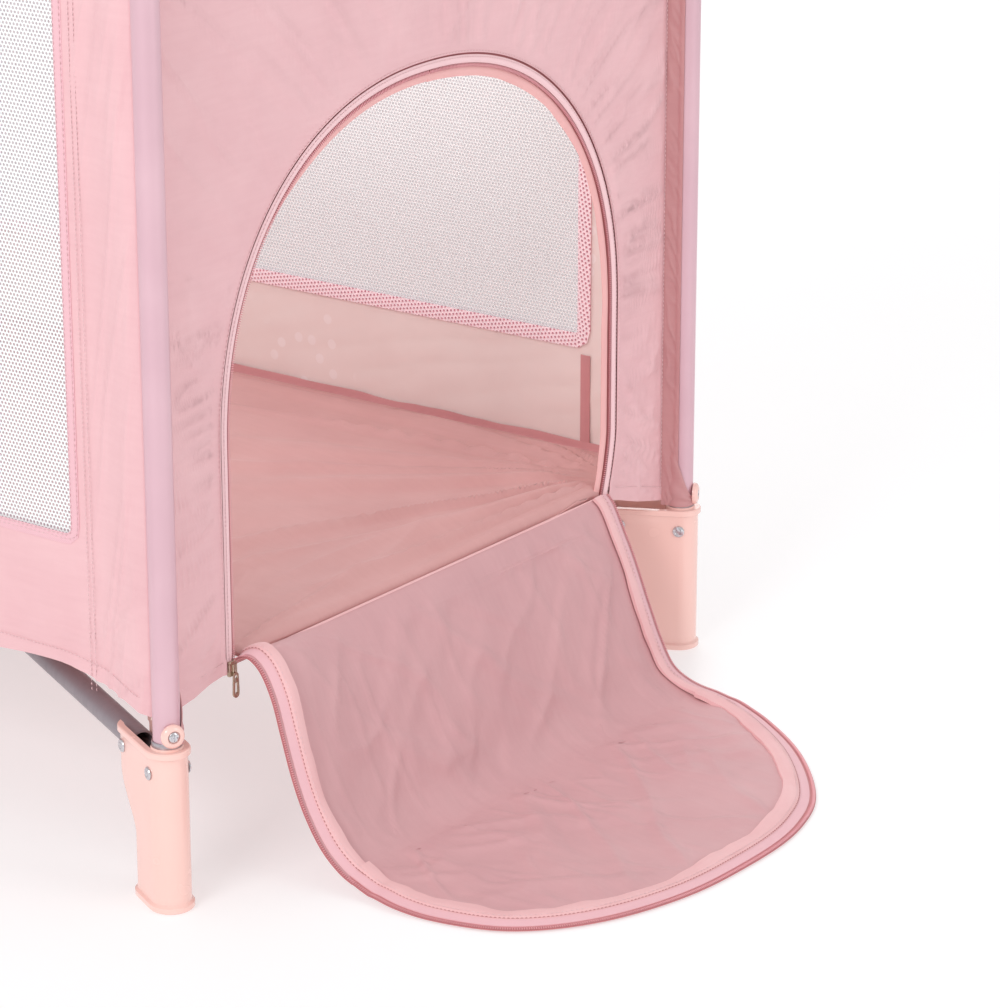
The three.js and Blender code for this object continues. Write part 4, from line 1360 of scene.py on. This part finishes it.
def door_zip(name, sy):
    """Half of the arch's zip: tape, a dark strip of painted shade in the gap under it, teeth and the closing
    stitches.
    """
    out, turn = (1, 0, 0), -sy
    path, away = arch_path(sy, 0.0, 0.0004)
    tape = strip("zip_tape", path, out, 0.0002 * turn, 0.0058 * turn, 0.0010, MAT["door_tape"])
    # Painted shade: a dark strip behind the tape's edge.
    under = strip("under", path - np.array([0.0014, 0, 0]), out, -0.0026 * turn, 0.0096 * turn, 0.0002,
                  MAT["gap"])
    teeth = teeth_row("teeth", path - away * 0.0030, away, out)
    closing = stitch_line(arch_path(sy, 0.0044, 0.0016)[0], out, 0.003)
    return merged(f"door_zip_{name}", [tape, under, teeth, closing])


def door_lining(name, sy, seed):
    """The cloth inside half the door end, and the guard strip that covers the zip from inside."""
    sheet = door_sheet(f"door_lining_{name}", sy, 0.0040, MAT["lining_column"], seed + 30, 0.4)
    path, away = arch_path(sy, 0.0, -0.0024, low=0.150)
    climb = np.linspace(0, 1, len(path))
    wave = lumps(climb * 9, climb * 0, seed + 5) + 0.6 * lumps(climb * 26, climb * 0, seed + 6)
    wide = (0.0092 if sy > 0 else 0.0085 * ease(path[:, 2], 0.40, 0.50)) + 0.0011 * wave * (sy > 0)
    rows = [np.stack([share * wide + low, lift + 0 * wide], 1) for share, low, lift in (
        (0, -0.004, 0), (0.2, 0, 0.0002), (0.45, 0, 0.0016), (0.75, 0, 0.0014), (1, 0, 0.0002))]
    guard = swept_strip("guard", path, -away, np.tile((1, 0, 0), (len(path), 1)), np.stack(rows, 1),
                        MAT["guard"])
    return merged(f"door_lining_{name}", [sheet, solidified(guard, 0.0006)])


def add_door_end(name, sy, seed):
    squeeze = ((0, 1, 0), (0, sy * CORNER_Y, 0), KEEP_END)
    for piece, flat, area in (
        (door_cover(name, sy, seed), (CORNER_Y, PANEL_TALL), 0.095),
        (door_zip(name, sy), (0.0156, 0.53), None),
        (door_lining(name, sy, seed), (CORNER_Y, PANEL_TALL), 0.097),
    ):
        soft(piece, f"leg_{name}", "cover_fabric", *squeeze)


def rear_sheet(name, sy, inset, material, seed, calm):
    """The fabric of half the closed end, round its window."""
    us = steps(0.0, 40, REAR_WINDOW_EDGE, 26, CORNER_Y)
    vs = steps(0.0, 24, 0.25, 70, 0.78, 20, 1.0)

    def point(u, v):
        low = hem_z(u, CORNER_Y)
        z = panel_z(v, low)
        free = window_rim(u, z, REAR_WINDOW_EDGE) * ease(CORNER_Y - u, 0, 0.012) * ease(TOP_Z - z, 0, 0.02)
        x = end_x(u) - inset + calm * free * end_wrinkles(sy * u, z, seed, False) + hem_ridge(z, low)
        return -x - top_roll(z, inset), sy * u, z

    hole = lambda u, v: (u < REAR_WINDOW_EDGE) & (v > 0.25) & (v < 0.78)
    sheet = lay_uv(grid_on(name, us, vs, point, material, hole), (1, 2))
    return solidified(facing(sheet, (-1, 0, 0)), 0.0008)


def rear_outline(sy, edge, shift):
    """Half the outline of the rear window, out from the wall."""
    path = window_path(1, 1, edge, 0.0)
    return np.stack([np.full(len(path), -(WALL_X + shift)), sy * path[:, 0], path[:, 2]], 1)


def add_rear_end(name, sy, seed):
    """The closed end: a mesh window in a fabric frame."""
    body, out = f"leg_{name}", (-1, 0, 0)
    squeeze = ((0, 1, 0), (0, sy * CORNER_Y, 0), KEEP_END)
    sheet = rear_sheet(f"rear_end_{name}", sy, 0.0, MAT["cover"], seed, 1.0)
    border = strip("border", rear_outline(sy, REAR_WINDOW_EDGE, 0.0004), out, -0.0035 * sy, 0.0040 * sy,
                   0.0007, MAT["border"])
    hem = [(-(end_x(y) + 0.0014), sy * y, hem_z(y, CORNER_Y) + HEM_STITCH)
           for y in np.linspace(0.0, CORNER_Y - 0.006, 50)]
    sheet = merged(f"rear_end_{name}", [sheet, border, stitch_line(hem, out)])
    soft(sheet, body, "cover_fabric", *squeeze)
    lining = rear_sheet(f"rear_lining_{name}", sy, 0.0036, MAT["lining"], seed + 20, 0.35)
    trim = window_trim(rear_outline(sy, REAR_WINDOW_EDGE + 0.004, -0.0052), (1, 0, 0))
    lining = merged(f"rear_lining_{name}", [lining, *trim])
    soft(lining, body, "cover_fabric", *squeeze)
    add_window(f"rear_window_{name}", body, REAR_WINDOW_EDGE, 36, 0.002, seed,
               lambda u, sag, v: (-(WALL_X + sag), sy * u, v), out, squeeze)


def add_corner_tab(name, sx, sy, seed):
    """The cover's corner, drawn round the leg from the end's side and held under the button."""
    us, vs = np.linspace(0, 1, 64), np.linspace(0, 1, 34)
    start, finish = math.radians(-38), math.radians(102)

    def point(u, v):
        turn = start + (finish - start) * u
        high = 0.1270 + 0.036 * (1 - ease(turn, math.radians(-10), finish)) ** 1.4
        low = 0.1192 + 0.0008 * u
        z = low + (high - low) * v
        fan = np.arctan2(z - 0.1215, (finish + 0.15 - turn) * 0.0102)
        folds = np.cos(fan * 11 + seed) * ease(finish - turn, 0.1, 0.6) * ease(1 - v, 0, 0.1)
        radius = TUBE_RADIUS + 0.0014 + 0.0005 * folds - 0.0004 * ease(v, 0.85, 1)
        return (sx * (HALF_LENGTH + radius * np.sin(turn)), sy * (HALF_WIDTH - radius * np.cos(turn)), z)

    # The tab takes the corner strip's cloth, darker with painted shade from the leg.
    tab = lay_uv(grid_on(f"corner_tab_{name}", us, vs, point, MAT["strip"]), (0, 2))
    tab = solidified(facing(tab, (sx, -sy, 0)), 0.0007)
    hard(tab, f"leg_{name}", "cover_fabric")


def add_cover():
    for index, (name, (sx, sy)) in enumerate(CORNERS.items()):
        add_long_side(name, sx, sy, 150 + 50 * sy)
        if sx > 0:
            add_door_end(name, sy, 300)
        else:
            add_rear_end(name, sy, 400)
        add_corner_tab(name, sx, sy, index)


# ---- the floor cloth ----
FLOOR_X, FLOOR_Y = 0.5925, 0.2925  # its reach from the centre
SILL_LIP = 0.011  # how much further it runs over the sill at the door


def floor_height(x, y):
    """Creases that fan from the door's right corner, and a slack middle."""
    rise = 0.0011 * lumps(x / 0.12, y / 0.10, 51) + 0.0006 * lumps(x / 0.045, y / 0.04, 52)
    for corner_x, corner_y, strength, seed in ((0.59, 0.25, 1.0, 61), (0.60, -0.29, 0.45, 62),
                                               (-0.60, 0.28, 0.5, 63), (-0.60, -0.28, 0.5, 64)):
        far = np.hypot(x - corner_x, y - corner_y)
        angle = np.arctan2(y - corner_y, (corner_x - x) * np.sign(corner_x))
        fan = 1 - np.abs(lumps(angle * 8.5, far / 0.5, seed)) * 2.0
        fan = np.clip(fan, 0, 1) ** 1.4
        rise = rise + strength * 0.0072 * fan * ease(far, 0.0, 0.08) * (1 - ease(far, 0.20, 0.75))
    return rise


def straight_strip(name, start, step, side, up, section, material, look, thickness):
    """A strip swept along a straight line: start plus step times each of its numbers."""
    start, (axis, numbers) = np.array(start, float), step
    points = np.tile(start, (len(numbers), 1))
    points[:, axis] = numbers
    band = swept_strip(name, points, np.tile(side, (len(points), 1)), np.tile(up, (len(points), 1)),
                       section, material)
    return solidified(facing(band, look), thickness)


def side_gusset(sx, sy, reach):
    """The narrow band that joins the floor to a long side, with a slack upper edge."""
    along = np.linspace(0, reach, 200)
    wave = 0.0010 * lumps(along / 0.05, along * 0, 91) + 0.0005 * lumps(along / 0.018, along * 0, 92)
    rows = [np.stack([np.full(200, out), high + share * wave], 1) for out, high, share in (
        (-0.0012, -0.0004, 0), (0.0002, 0.0010, 0.3), (0.0004, 0.0035, 0.6), (0.0010, 0.0068, 1),
        (0.0022, 0.0066, 1))]
    return straight_strip("gusset", (0, sy * 0.2915, FLOOR_TOP + 0.002), (0, sx * along), (0.0, sy, 0.0),
                          (0.0, 0.0, 1.0), np.stack(rows, 1), MAT["gusset"], (0, -sy, 0), 0.0004)


def sill_strips(sy):
    """The seam along the sill between the floor and the flap, dark with painted shade, and the pale piping
    before it.
    """
    along = (1, sy * np.linspace(0, 0.2270 if sy < 0 else 0.2120, 60))
    level = ((1.0, 0.0, 0.0), (0.0, 0.0, 1.0))
    seam = [(-0.004, -0.0006), (0.0, 0.0002), (0.0038, 0.0004)]
    piping = [(-0.0010, 0.0), (-0.0007, 0.0008), (0.0, 0.0011), (0.0007, 0.0008), (0.0010, 0.0)]
    # The seam strip is dark with painted shade; the piping is the hem's own pale cloth.
    return [straight_strip(name, (x, 0, FLOOR_TOP - drop), along, *level, shape, MAT[look], (0, 0, 1), thick)
            for name, x, drop, shape, look, thick in (("seam", 0.5975, 0.0018, seam, "gap", 0.0005),
                                                      ("piping", 0.6016, 0.0006, piping, "hem", 0.0003))]


def floor_point(u, v, sx, sy):
    """A quarter of the floor over u and v from 0 to 1; at the door its edge bends down over the sill."""
    door = sx > 0
    x, y = u * (FLOOR_X + (SILL_LIP if door else 0)), v * FLOOR_Y
    rise = floor_height(sx * x, sy * y)
    near_wall = ease(FLOOR_Y - y, 0, 0.02)
    near_end = 1.0 if door else ease(FLOOR_X - x, 0, 0.02)
    piping = 0.0022 * np.exp(-((FLOOR_Y - y - 0.003) / 0.0022) ** 2)
    z = FLOOR_TOP + 0.0022 + rise * near_wall * near_end + piping
    if not door:
        return sx * x, sy * y, z - 0.0009 * (1 - near_wall)
    opening = 1 - ease(y, 0.212, 0.224)
    over = np.clip(x - (FLOOR_X - 0.003), 0, SILL_LIP + 0.003)
    bend = np.minimum(over / 0.0095, 1.0) * math.pi / 2
    bent_x = FLOOR_X - 0.003 + 0.0085 * np.sin(bend) * opening + over * 0.15 * (1 - opening)
    real_x = np.where(over > 0, bent_x, x)
    z = z - 0.0085 * (1 - np.cos(bend)) * opening - 0.0009 * (1 - near_wall)
    lift = 0.0030 * ease(x, 0.5, 0.59) * ease(sy * y, -0.2, 0.22) * opening
    return sx * real_x, sy * y, z + lift


def add_floor():
    for name, (sx, sy) in CORNERS.items():
        cloth = grid_on(f"floor_{name}", steps(0.0, 90, 0.5 / 0.6, 60, 1.0), np.linspace(0, 1, 96),
                        lambda u, v: floor_point(u, v, sx, sy), MAT["floor"])
        cloth = solidified(facing(lay_uv(cloth, (0, 1)), (0, 0, 1)), 0.0012, -1.0)
        trims = [side_gusset(sx, sy, FLOOR_X - 0.002), *(sill_strips(sy) if sx > 0 else [])]
        cloth = merged(f"floor_{name}", [cloth, *trims])
        soft(cloth, f"base_{name}", "floor_fabric", (-sy * SIN, sx * COS, 0), (0, 0, 0), KEEP_FLOOR,
             f"floor_cloth_{name}")


# ---- the door flap, lying open ----
HINGE_X = 0.6020  # the cloth's upper end at the sill
CREASE_X = 0.668  # the pivot line
OVERLAP_X, SEAM_OVER_X = 0.680, 0.700  # between these the lying cloth takes over from the hanging cloth
CURVE_END_X = 0.715  # the curve from hanging to lying ends here
FLAP_LEFT, FLAP_RIGHT = -0.2275, 0.2170
FLAP_END_LEFT, FLAP_END_RIGHT = -0.2240, 0.2240  # its sides where the lying part takes over
FLAP_OUTLINE = [
    (CREASE_X, -0.2255), (0.690, -0.2247), (CURVE_END_X, FLAP_END_LEFT), (0.740, -0.2268),
    (0.780, -0.2220), (0.814, -0.2100), (0.840, -0.1880), (0.861, -0.1570), (0.876, -0.1200),
    (0.886, -0.0770), (0.8895, -0.0300), (0.8890, 0.0200), (0.8820, 0.0600), (0.8675, 0.0980),
    (0.8400, 0.1370), (0.8040, 0.1740), (0.7620, 0.2050), (0.7350, 0.2180),
    (CURVE_END_X, FLAP_END_RIGHT), (0.690, 0.2225), (CREASE_X, 0.2205),
]  # (x, y) round the lying part, from its left end at the crease to its right end


def upper_profiles():
    """(x, z) down the flap from the sill onto the floor, at its left edge, its middle and its right edge."""
    left = [(HINGE_X, 0.1515), (0.6085, 0.1555), (0.6165, 0.1560), (0.6268, 0.1475), (0.6360, 0.1295),
            (0.6430, 0.1060), (0.6520, 0.0760), (0.6620, 0.0515), (0.6750, 0.0300), (0.6890, 0.0165),
            (0.7020, 0.0095), (CURVE_END_X, 0.0060)]
    middle = [(HINGE_X, 0.1490), (0.6065, 0.1450), (0.6150, 0.1300), (0.6290, 0.1000), (0.6440, 0.0640),
              (0.6540, 0.0410), (0.6630, 0.0240), (0.6760, 0.0120), (0.6920, 0.0062), (CURVE_END_X, 0.0040)]
    right = [(HINGE_X, 0.1500), (0.6085, 0.1430), (0.6180, 0.1240), (0.6290, 0.1010), (0.6430, 0.0660),
             (0.6530, 0.0420), (0.6640, 0.0220), (0.6790, 0.0120), (0.6960, 0.0075), (CURVE_END_X, 0.0055)]
    return [smoothed(p, 90) for p in (left, middle, right)]


UPPER_PROFILES = upper_profiles()
UPPER_LENGTH = 0.207  # along the cloth, from the sill to the end of the curve
UPPER_SHARE = 0.93  # how much of that the hanging cloth covers


def across_flap(y, left, middle, right):
    """Blends what holds at the flap's edges and in its middle."""
    to_left, to_right = 1 - ease(y, FLAP_LEFT, -0.105), ease(y, 0.08, FLAP_RIGHT)
    return middle + (left - middle) * to_left + (right - middle) * to_right


def upper_point(share, y):
    """A point (x, z) of the hanging cloth; share runs from 0 at the sill to 1 where the curve ends."""
    at = np.asarray(share, float) * 89
    return across_flap(y, *(np.stack([np.interp(at, np.arange(90), profile[:, k]) for k in (0, 1)])
                            for profile in UPPER_PROFILES))


def flap_creases(a, y):
    """Slack and folds of the flap over the distance from the sill and across."""
    out = 0.0026 * lumps(a / 0.10, y / 0.13, 71) + 0.0008 * lumps(a / 0.035, y / 0.05, 72)
    out = out + 0.0028 * creases(a, y, 0.9, 0.04, 0.17, 73) + 0.0024 * creases(a, y, -0.65, 0.045, 0.15, 75)
    out = out + 0.0014 * creases(a, y, 0.15, 0.03, 0.10, 77)
    far = np.hypot(a - 0.02, y - 0.21)
    fan = np.clip(1 - np.abs(lumps(np.arctan2(a - 0.02, y - 0.21) * 6.5, far * 0, 79)) * 2.3, 0, 1) ** 1.3
    return out + 0.0030 * fan * ease(far, 0.01, 0.07) * (1 - ease(far, 0.12, 0.30))


def flap_side(sign, x):
    """The flap's edge in Y at a distance from the centre, for the left (-1) or right (1) side."""
    start, end = (FLAP_RIGHT, FLAP_END_RIGHT) if sign > 0 else (FLAP_LEFT, FLAP_END_LEFT)
    return start + (end - start) * ease(x, 0.63, CURVE_END_X)


def flap_upper_sheet():
    us, vs = np.linspace(0, UPPER_SHARE, 110), np.linspace(0, 1, 150)

    def point(u, v):
        y = FLAP_LEFT + (FLAP_RIGHT - FLAP_LEFT) * v
        x, z = upper_point(u, y)
        quiet = ease(u, 0, 0.10) * ease(v, 0.03, 0.1) * ease(1 - v, 0.03, 0.1) * overlap_calm(x)
        out = flap_creases(u * UPPER_LENGTH, y) * quiet
        flat = ease(u, 0.60, 0.84)
        left, right = flap_side(-1, x), flap_side(1, x)
        return x + out * 0.91 * (1 - flat), left + (right - left) * v, z + out * (0.41 + 0.59 * flat)

    sheet = grid_on("flap_upper_cloth", us, vs, point, MAT["flap"])
    return facing(lay_uv(sheet, (2, 1), (-1, 1)), (1, 0, 1))


def lower_outline(count, inset=0.0):
    line = smoothed(FLAP_OUTLINE, count)
    step = frames_along(line)
    inward = np.stack([-step[:, 1], step[:, 0]], 1)
    middle = np.array([CURVE_END_X, 0.0])
    inward *= np.sign(((middle - line) * inward).sum(1))[:, None]
    line = line + inward * inset
    line[:, 0] = np.maximum(line[:, 0], CREASE_X)
    return line, inward


def overlap_calm(x):
    """Keeps the two parts of the cloth close where they overlap."""
    return 1 - 0.85 * np.exp(-((x - 0.690) / 0.013) ** 2)


def hanging_height(x, y):
    """Height of the hanging part where it already lies, under the start of the lying part."""
    return across_flap(y, *(np.interp(x, p[:, 0], p[:, 1]) for p in UPPER_PROFILES))


def lying_height(x, y):
    """Height of the lying part before its creases; it starts just under the hanging part's end."""
    start = hanging_height(np.minimum(x, CURVE_END_X), y)
    start = start + 0.0009 * (ease(x, OVERLAP_X, SEAM_OVER_X) - 0.6)
    start = start - 0.0030 * (1 - ease(x, CREASE_X, OVERLAP_X))
    return 0.0030 + (start - 0.0030) * (1 - ease(x, CURVE_END_X - 0.002, CURVE_END_X + 0.05))


def flap_lower_sheet():
    us, vs = np.linspace(0, 1, 240), np.linspace(0.0, 1, 100)
    line, _ = lower_outline(240, 0.010)

    def point(u, v):
        at = u * 239
        ox, oy = (np.interp(at, np.arange(240), line[:, k]) for k in (0, 1))
        x, y = CREASE_X + (ox - CREASE_X) * v, oy * v
        edge = (1 - v) * np.hypot(ox - CREASE_X, oy)
        quiet = ease(edge, 0.0, 0.03)
        across = np.clip((y - FLAP_LEFT) / (FLAP_RIGHT - FLAP_LEFT), 0, 1)
        seam_quiet = ease(across, 0.03, 0.1) * ease(1 - across, 0.03, 0.1)
        quiet = quiet + (seam_quiet - quiet) * (1 - ease(x, CURVE_END_X, CURVE_END_X + 0.03))
        z = lying_height(x, y) + flap_creases(x - CURVE_END_X + UPPER_LENGTH, y) * quiet * overlap_calm(x)
        z = z + 0.0008 * (1 - ease(edge, 0.0, 0.012)) * ease(x - CURVE_END_X, 0, 0.03)
        return x, y, np.maximum(z, 0.0014)

    sheet = grid_on("flap_lower_cloth", us, vs, point, MAT["flap"])
    return lay_uv(facing(sheet, (0, 0, 1)), (0, 1))


def swept_strip(name, points, side, up, section, material):
    """A strip of (sideways, upward) pairs swept along points, open at its edges."""
    points, side, up = (np.asarray(a, float) for a in (points, side, up))
    section = np.asarray(section, float)
    if section.ndim == 2:
        section = np.broadcast_to(section, (len(points), *section.shape))
    verts = points[:, None] + side[:, None] * section[..., :1] + up[:, None] * section[..., 1:]
    verts = verts.reshape(-1, 3)
    count = section.shape[1]
    uvs = np.stack([np.repeat(running_length(points), count), section[..., 0].ravel()], 1)
    return from_lists(name, verts, grid_faces(len(points), count).reshape(-1, 4), material, True, uvs)


def flap_edge(name, points, side, up, seed, slack):
    """The flap's zipped border: teeth, tape, and the turned hem standing a little proud of the cloth."""
    length = running_length(points)
    wave = lumps(length / 0.034, length * 0, seed)
    fine = lumps(length / 0.013, length * 0, seed + 1)
    run = (name, points, side, up)
    tape = swept_strip(*run, [(0.0018, 0.0006), (0.0040, 0.0012), (0.0065, 0.0018), (0.0088, 0.0024),
                              (0.0094, 0.0026)], MAT["tape"])
    under = swept_strip(*run, [(-0.0030, -0.0004), (0.0004, 0.0), (0.0030, 0.0003)], MAT["deep_tape"])
    width = 0.0100 + 0.0030 * ease(slack, 0.7, 1) + slack * (0.0024 * wave + 0.0010 * fine)
    rows = [
        np.stack([0.0090 + share * width, lift + high * wave + low * fine], 1)
        for share, lift, high, low in (
            (0, 0.0024, 0, 0), (0.04, 0.0036, 0, 0.0002), (0.18, 0.0044, 0.0004, 0.0003),
            (0.45, 0.0046, 0.0008 * slack, 0.0005), (0.75, 0.0044, 0.0006 * slack, 0.0007),
            (0.97, 0.0040, 0.0008 * slack, 0.0005), (1, 0.0022, 0, 0), (0.85, 0.0012, 0, 0))
    ]
    hem = swept_strip(*run, np.stack(rows, 1), MAT["hem"])
    teeth = teeth_row("teeth", points + up * 0.0005, -side, up, size=(0.0026, 0.0009, 0.0011), phase=0.5)
    # A dark row along the hem's groove: painted shade.
    groove = stitch_line(points + side * 0.0090 + up * 0.0034, up, 0.0030, 0.0022, 0.0004, MAT["gap"])
    outer = points + side * 0.0112 + up * (0.0046 + 0.0003 * wave[:, None])
    return [solidified(tape, 0.0007), solidified(hem, 0.0007), solidified(under, 0.0004), teeth, groove,
            stitch_line(outer, up, 0.0036)]


def upper_edge(sign):
    share = np.linspace(0, UPPER_SHARE, 130)
    x, z = upper_point(share, np.full(130, FLAP_RIGHT if sign > 0 else FLAP_LEFT))
    points = np.stack([x, flap_side(sign, x), z], 1)
    side = np.tile((0.0, -sign, 0.0), (130, 1))
    step = frames_along(points)
    up = np.stack([-step[:, 2], np.zeros(130), step[:, 0]], 1)
    return points, side, up


def lower_edge():
    line, inward = lower_outline(460)
    line, inward = (row[line[:, 0] > SEAM_OVER_X - 0.006] for row in (line, inward))
    x, y = line.T
    points = np.stack([x, y, lying_height(x, y) - 0.0014 * ease(x, SEAM_OVER_X, CURVE_END_X)], 1)
    slope = (lying_height(x + 0.001, y) - lying_height(x - 0.001, y)) / 0.002
    up = np.stack([-slope, slope * 0, slope * 0 + 1], 1) / np.hypot(slope, 1)[:, None]
    return points, np.stack([inward[:, 0], inward[:, 1], x * 0], 1), up


def add_flap():
    squeeze = ((0, 1, 0), (0, -0.236, 0), KEEP_FLAP)
    upper = [solidified(flap_upper_sheet(), 0.0010)]
    for sign, seed in ((-1, 81), (1, 84)):
        upper += flap_edge("flap_upper_edge", *upper_edge(sign), seed, 0.6)
    upper = merged("flap_upper_cloth", upper)
    soft(upper, "flap_upper", "flap_fabric", *squeeze, "door_flap_upper")
    lower = merged("flap_lower_cloth", [solidified(flap_lower_sheet(), 0.0010),
                                        *flap_edge("flap_lower_edge", *lower_edge(), 88, 1.0)])
    soft(lower, "flap_lower", "flap_fabric", *squeeze, "door_flap_lower")


# ---- the zip's slider and its pull ----
SLIDER_Y, PULL_X, PULL_Z = -0.2295, 0.6032, 0.143
SLIDER_BACK = WALL_X + 0.0004


def slider_block(name, depths, sides, heights, bevel=0.0, segments=2):
    """A brass block of the slider, measured from its back, its middle and the pull's height."""
    lows, highs = zip(depths, sides, heights)
    origin = np.array([SLIDER_BACK, SLIDER_Y, PULL_Z])
    brick = block(name, tuple(origin + lows), tuple(origin + highs), MAT["brass"])
    return bevelled(brick, bevel, segments) if bevel else brick


def add_slider():
    plate = slider_block("plate", (0, 0.0028), (-0.004, 0.004), (-0.003, 0.008), 0.0008, 3)
    cut(plate, slider_block("throat", (0.0008, 0.0018), (-0.0012, 0.0012), (-0.004, 0.009)))
    bridge = slider_block("bridge", (0.0026, 0.0038), (-0.0012, 0.0012), (-0.002, 0.006), 0.0004)
    wings = [slider_block("wing", (0.0004, 0.0026), (s * 0.0041 - 0.0003, s * 0.0041 + 0.0003),
                          (-0.0015, 0.0075), 0.0002) for s in (-1, 1)]
    slider = merged("zip_slider_body", [sharp_edges(plate, 35), sharp_edges(bridge, 35), *wings])
    soft(slider, "leg_door_left", "zip_metal", (0, 1, 0), (0, -CORNER_Y, 0), KEEP_END, "zip_slider")


def add_zip_pull():
    brass, half, drop, thick = MAT["brass"], 0.0027, 0.0172, 0.0006
    head = arc_points(0, 0.0004 - half, half, 0, math.pi, 20)
    foot = arc_points(0, -drop + 0.0022, half + 0.0006, math.pi, 2 * math.pi, 16)
    pull = extruded("pull", [*head, *foot], -thick, thick, brass)
    eye = lathe("eye", [(0, -0.003), (0.0013, -0.003), (0.0013, 0.003), (0, 0.003)], brass, 20, axis="Y")
    eye.data.transform(Matrix.Translation((0, 0, -0.0028)))
    opening = [*arc_points(0, -0.0080, 0.0011, 0, math.pi, 10),
               *arc_points(0, -0.0135, 0.0014, math.pi, 2 * math.pi, 10)]
    cut(pull, eye, extruded("window", opening, -0.002, 0.002, brass))
    pull = sharp_edges(bevelled(pull, 0.0002, 2), 35)
    turn = Matrix.Rotation(math.pi / 2, 4, "Z")
    pull.data.transform(Matrix.Translation((PULL_X, SLIDER_Y, PULL_Z)) @ turn)
    pull.name = "zip_pull_tab"
    hard(pull, "zip_pull", "zip_metal", "zip_pull")


def main():
    add_camera()
    add_studio()
    add_feet()
    add_base_tubes()
    add_caps()
    add_locks()
    add_rails()
    add_hub()
    add_cover()
    add_floor()
    add_flap()
    add_slider()
    add_zip_pull()


main()
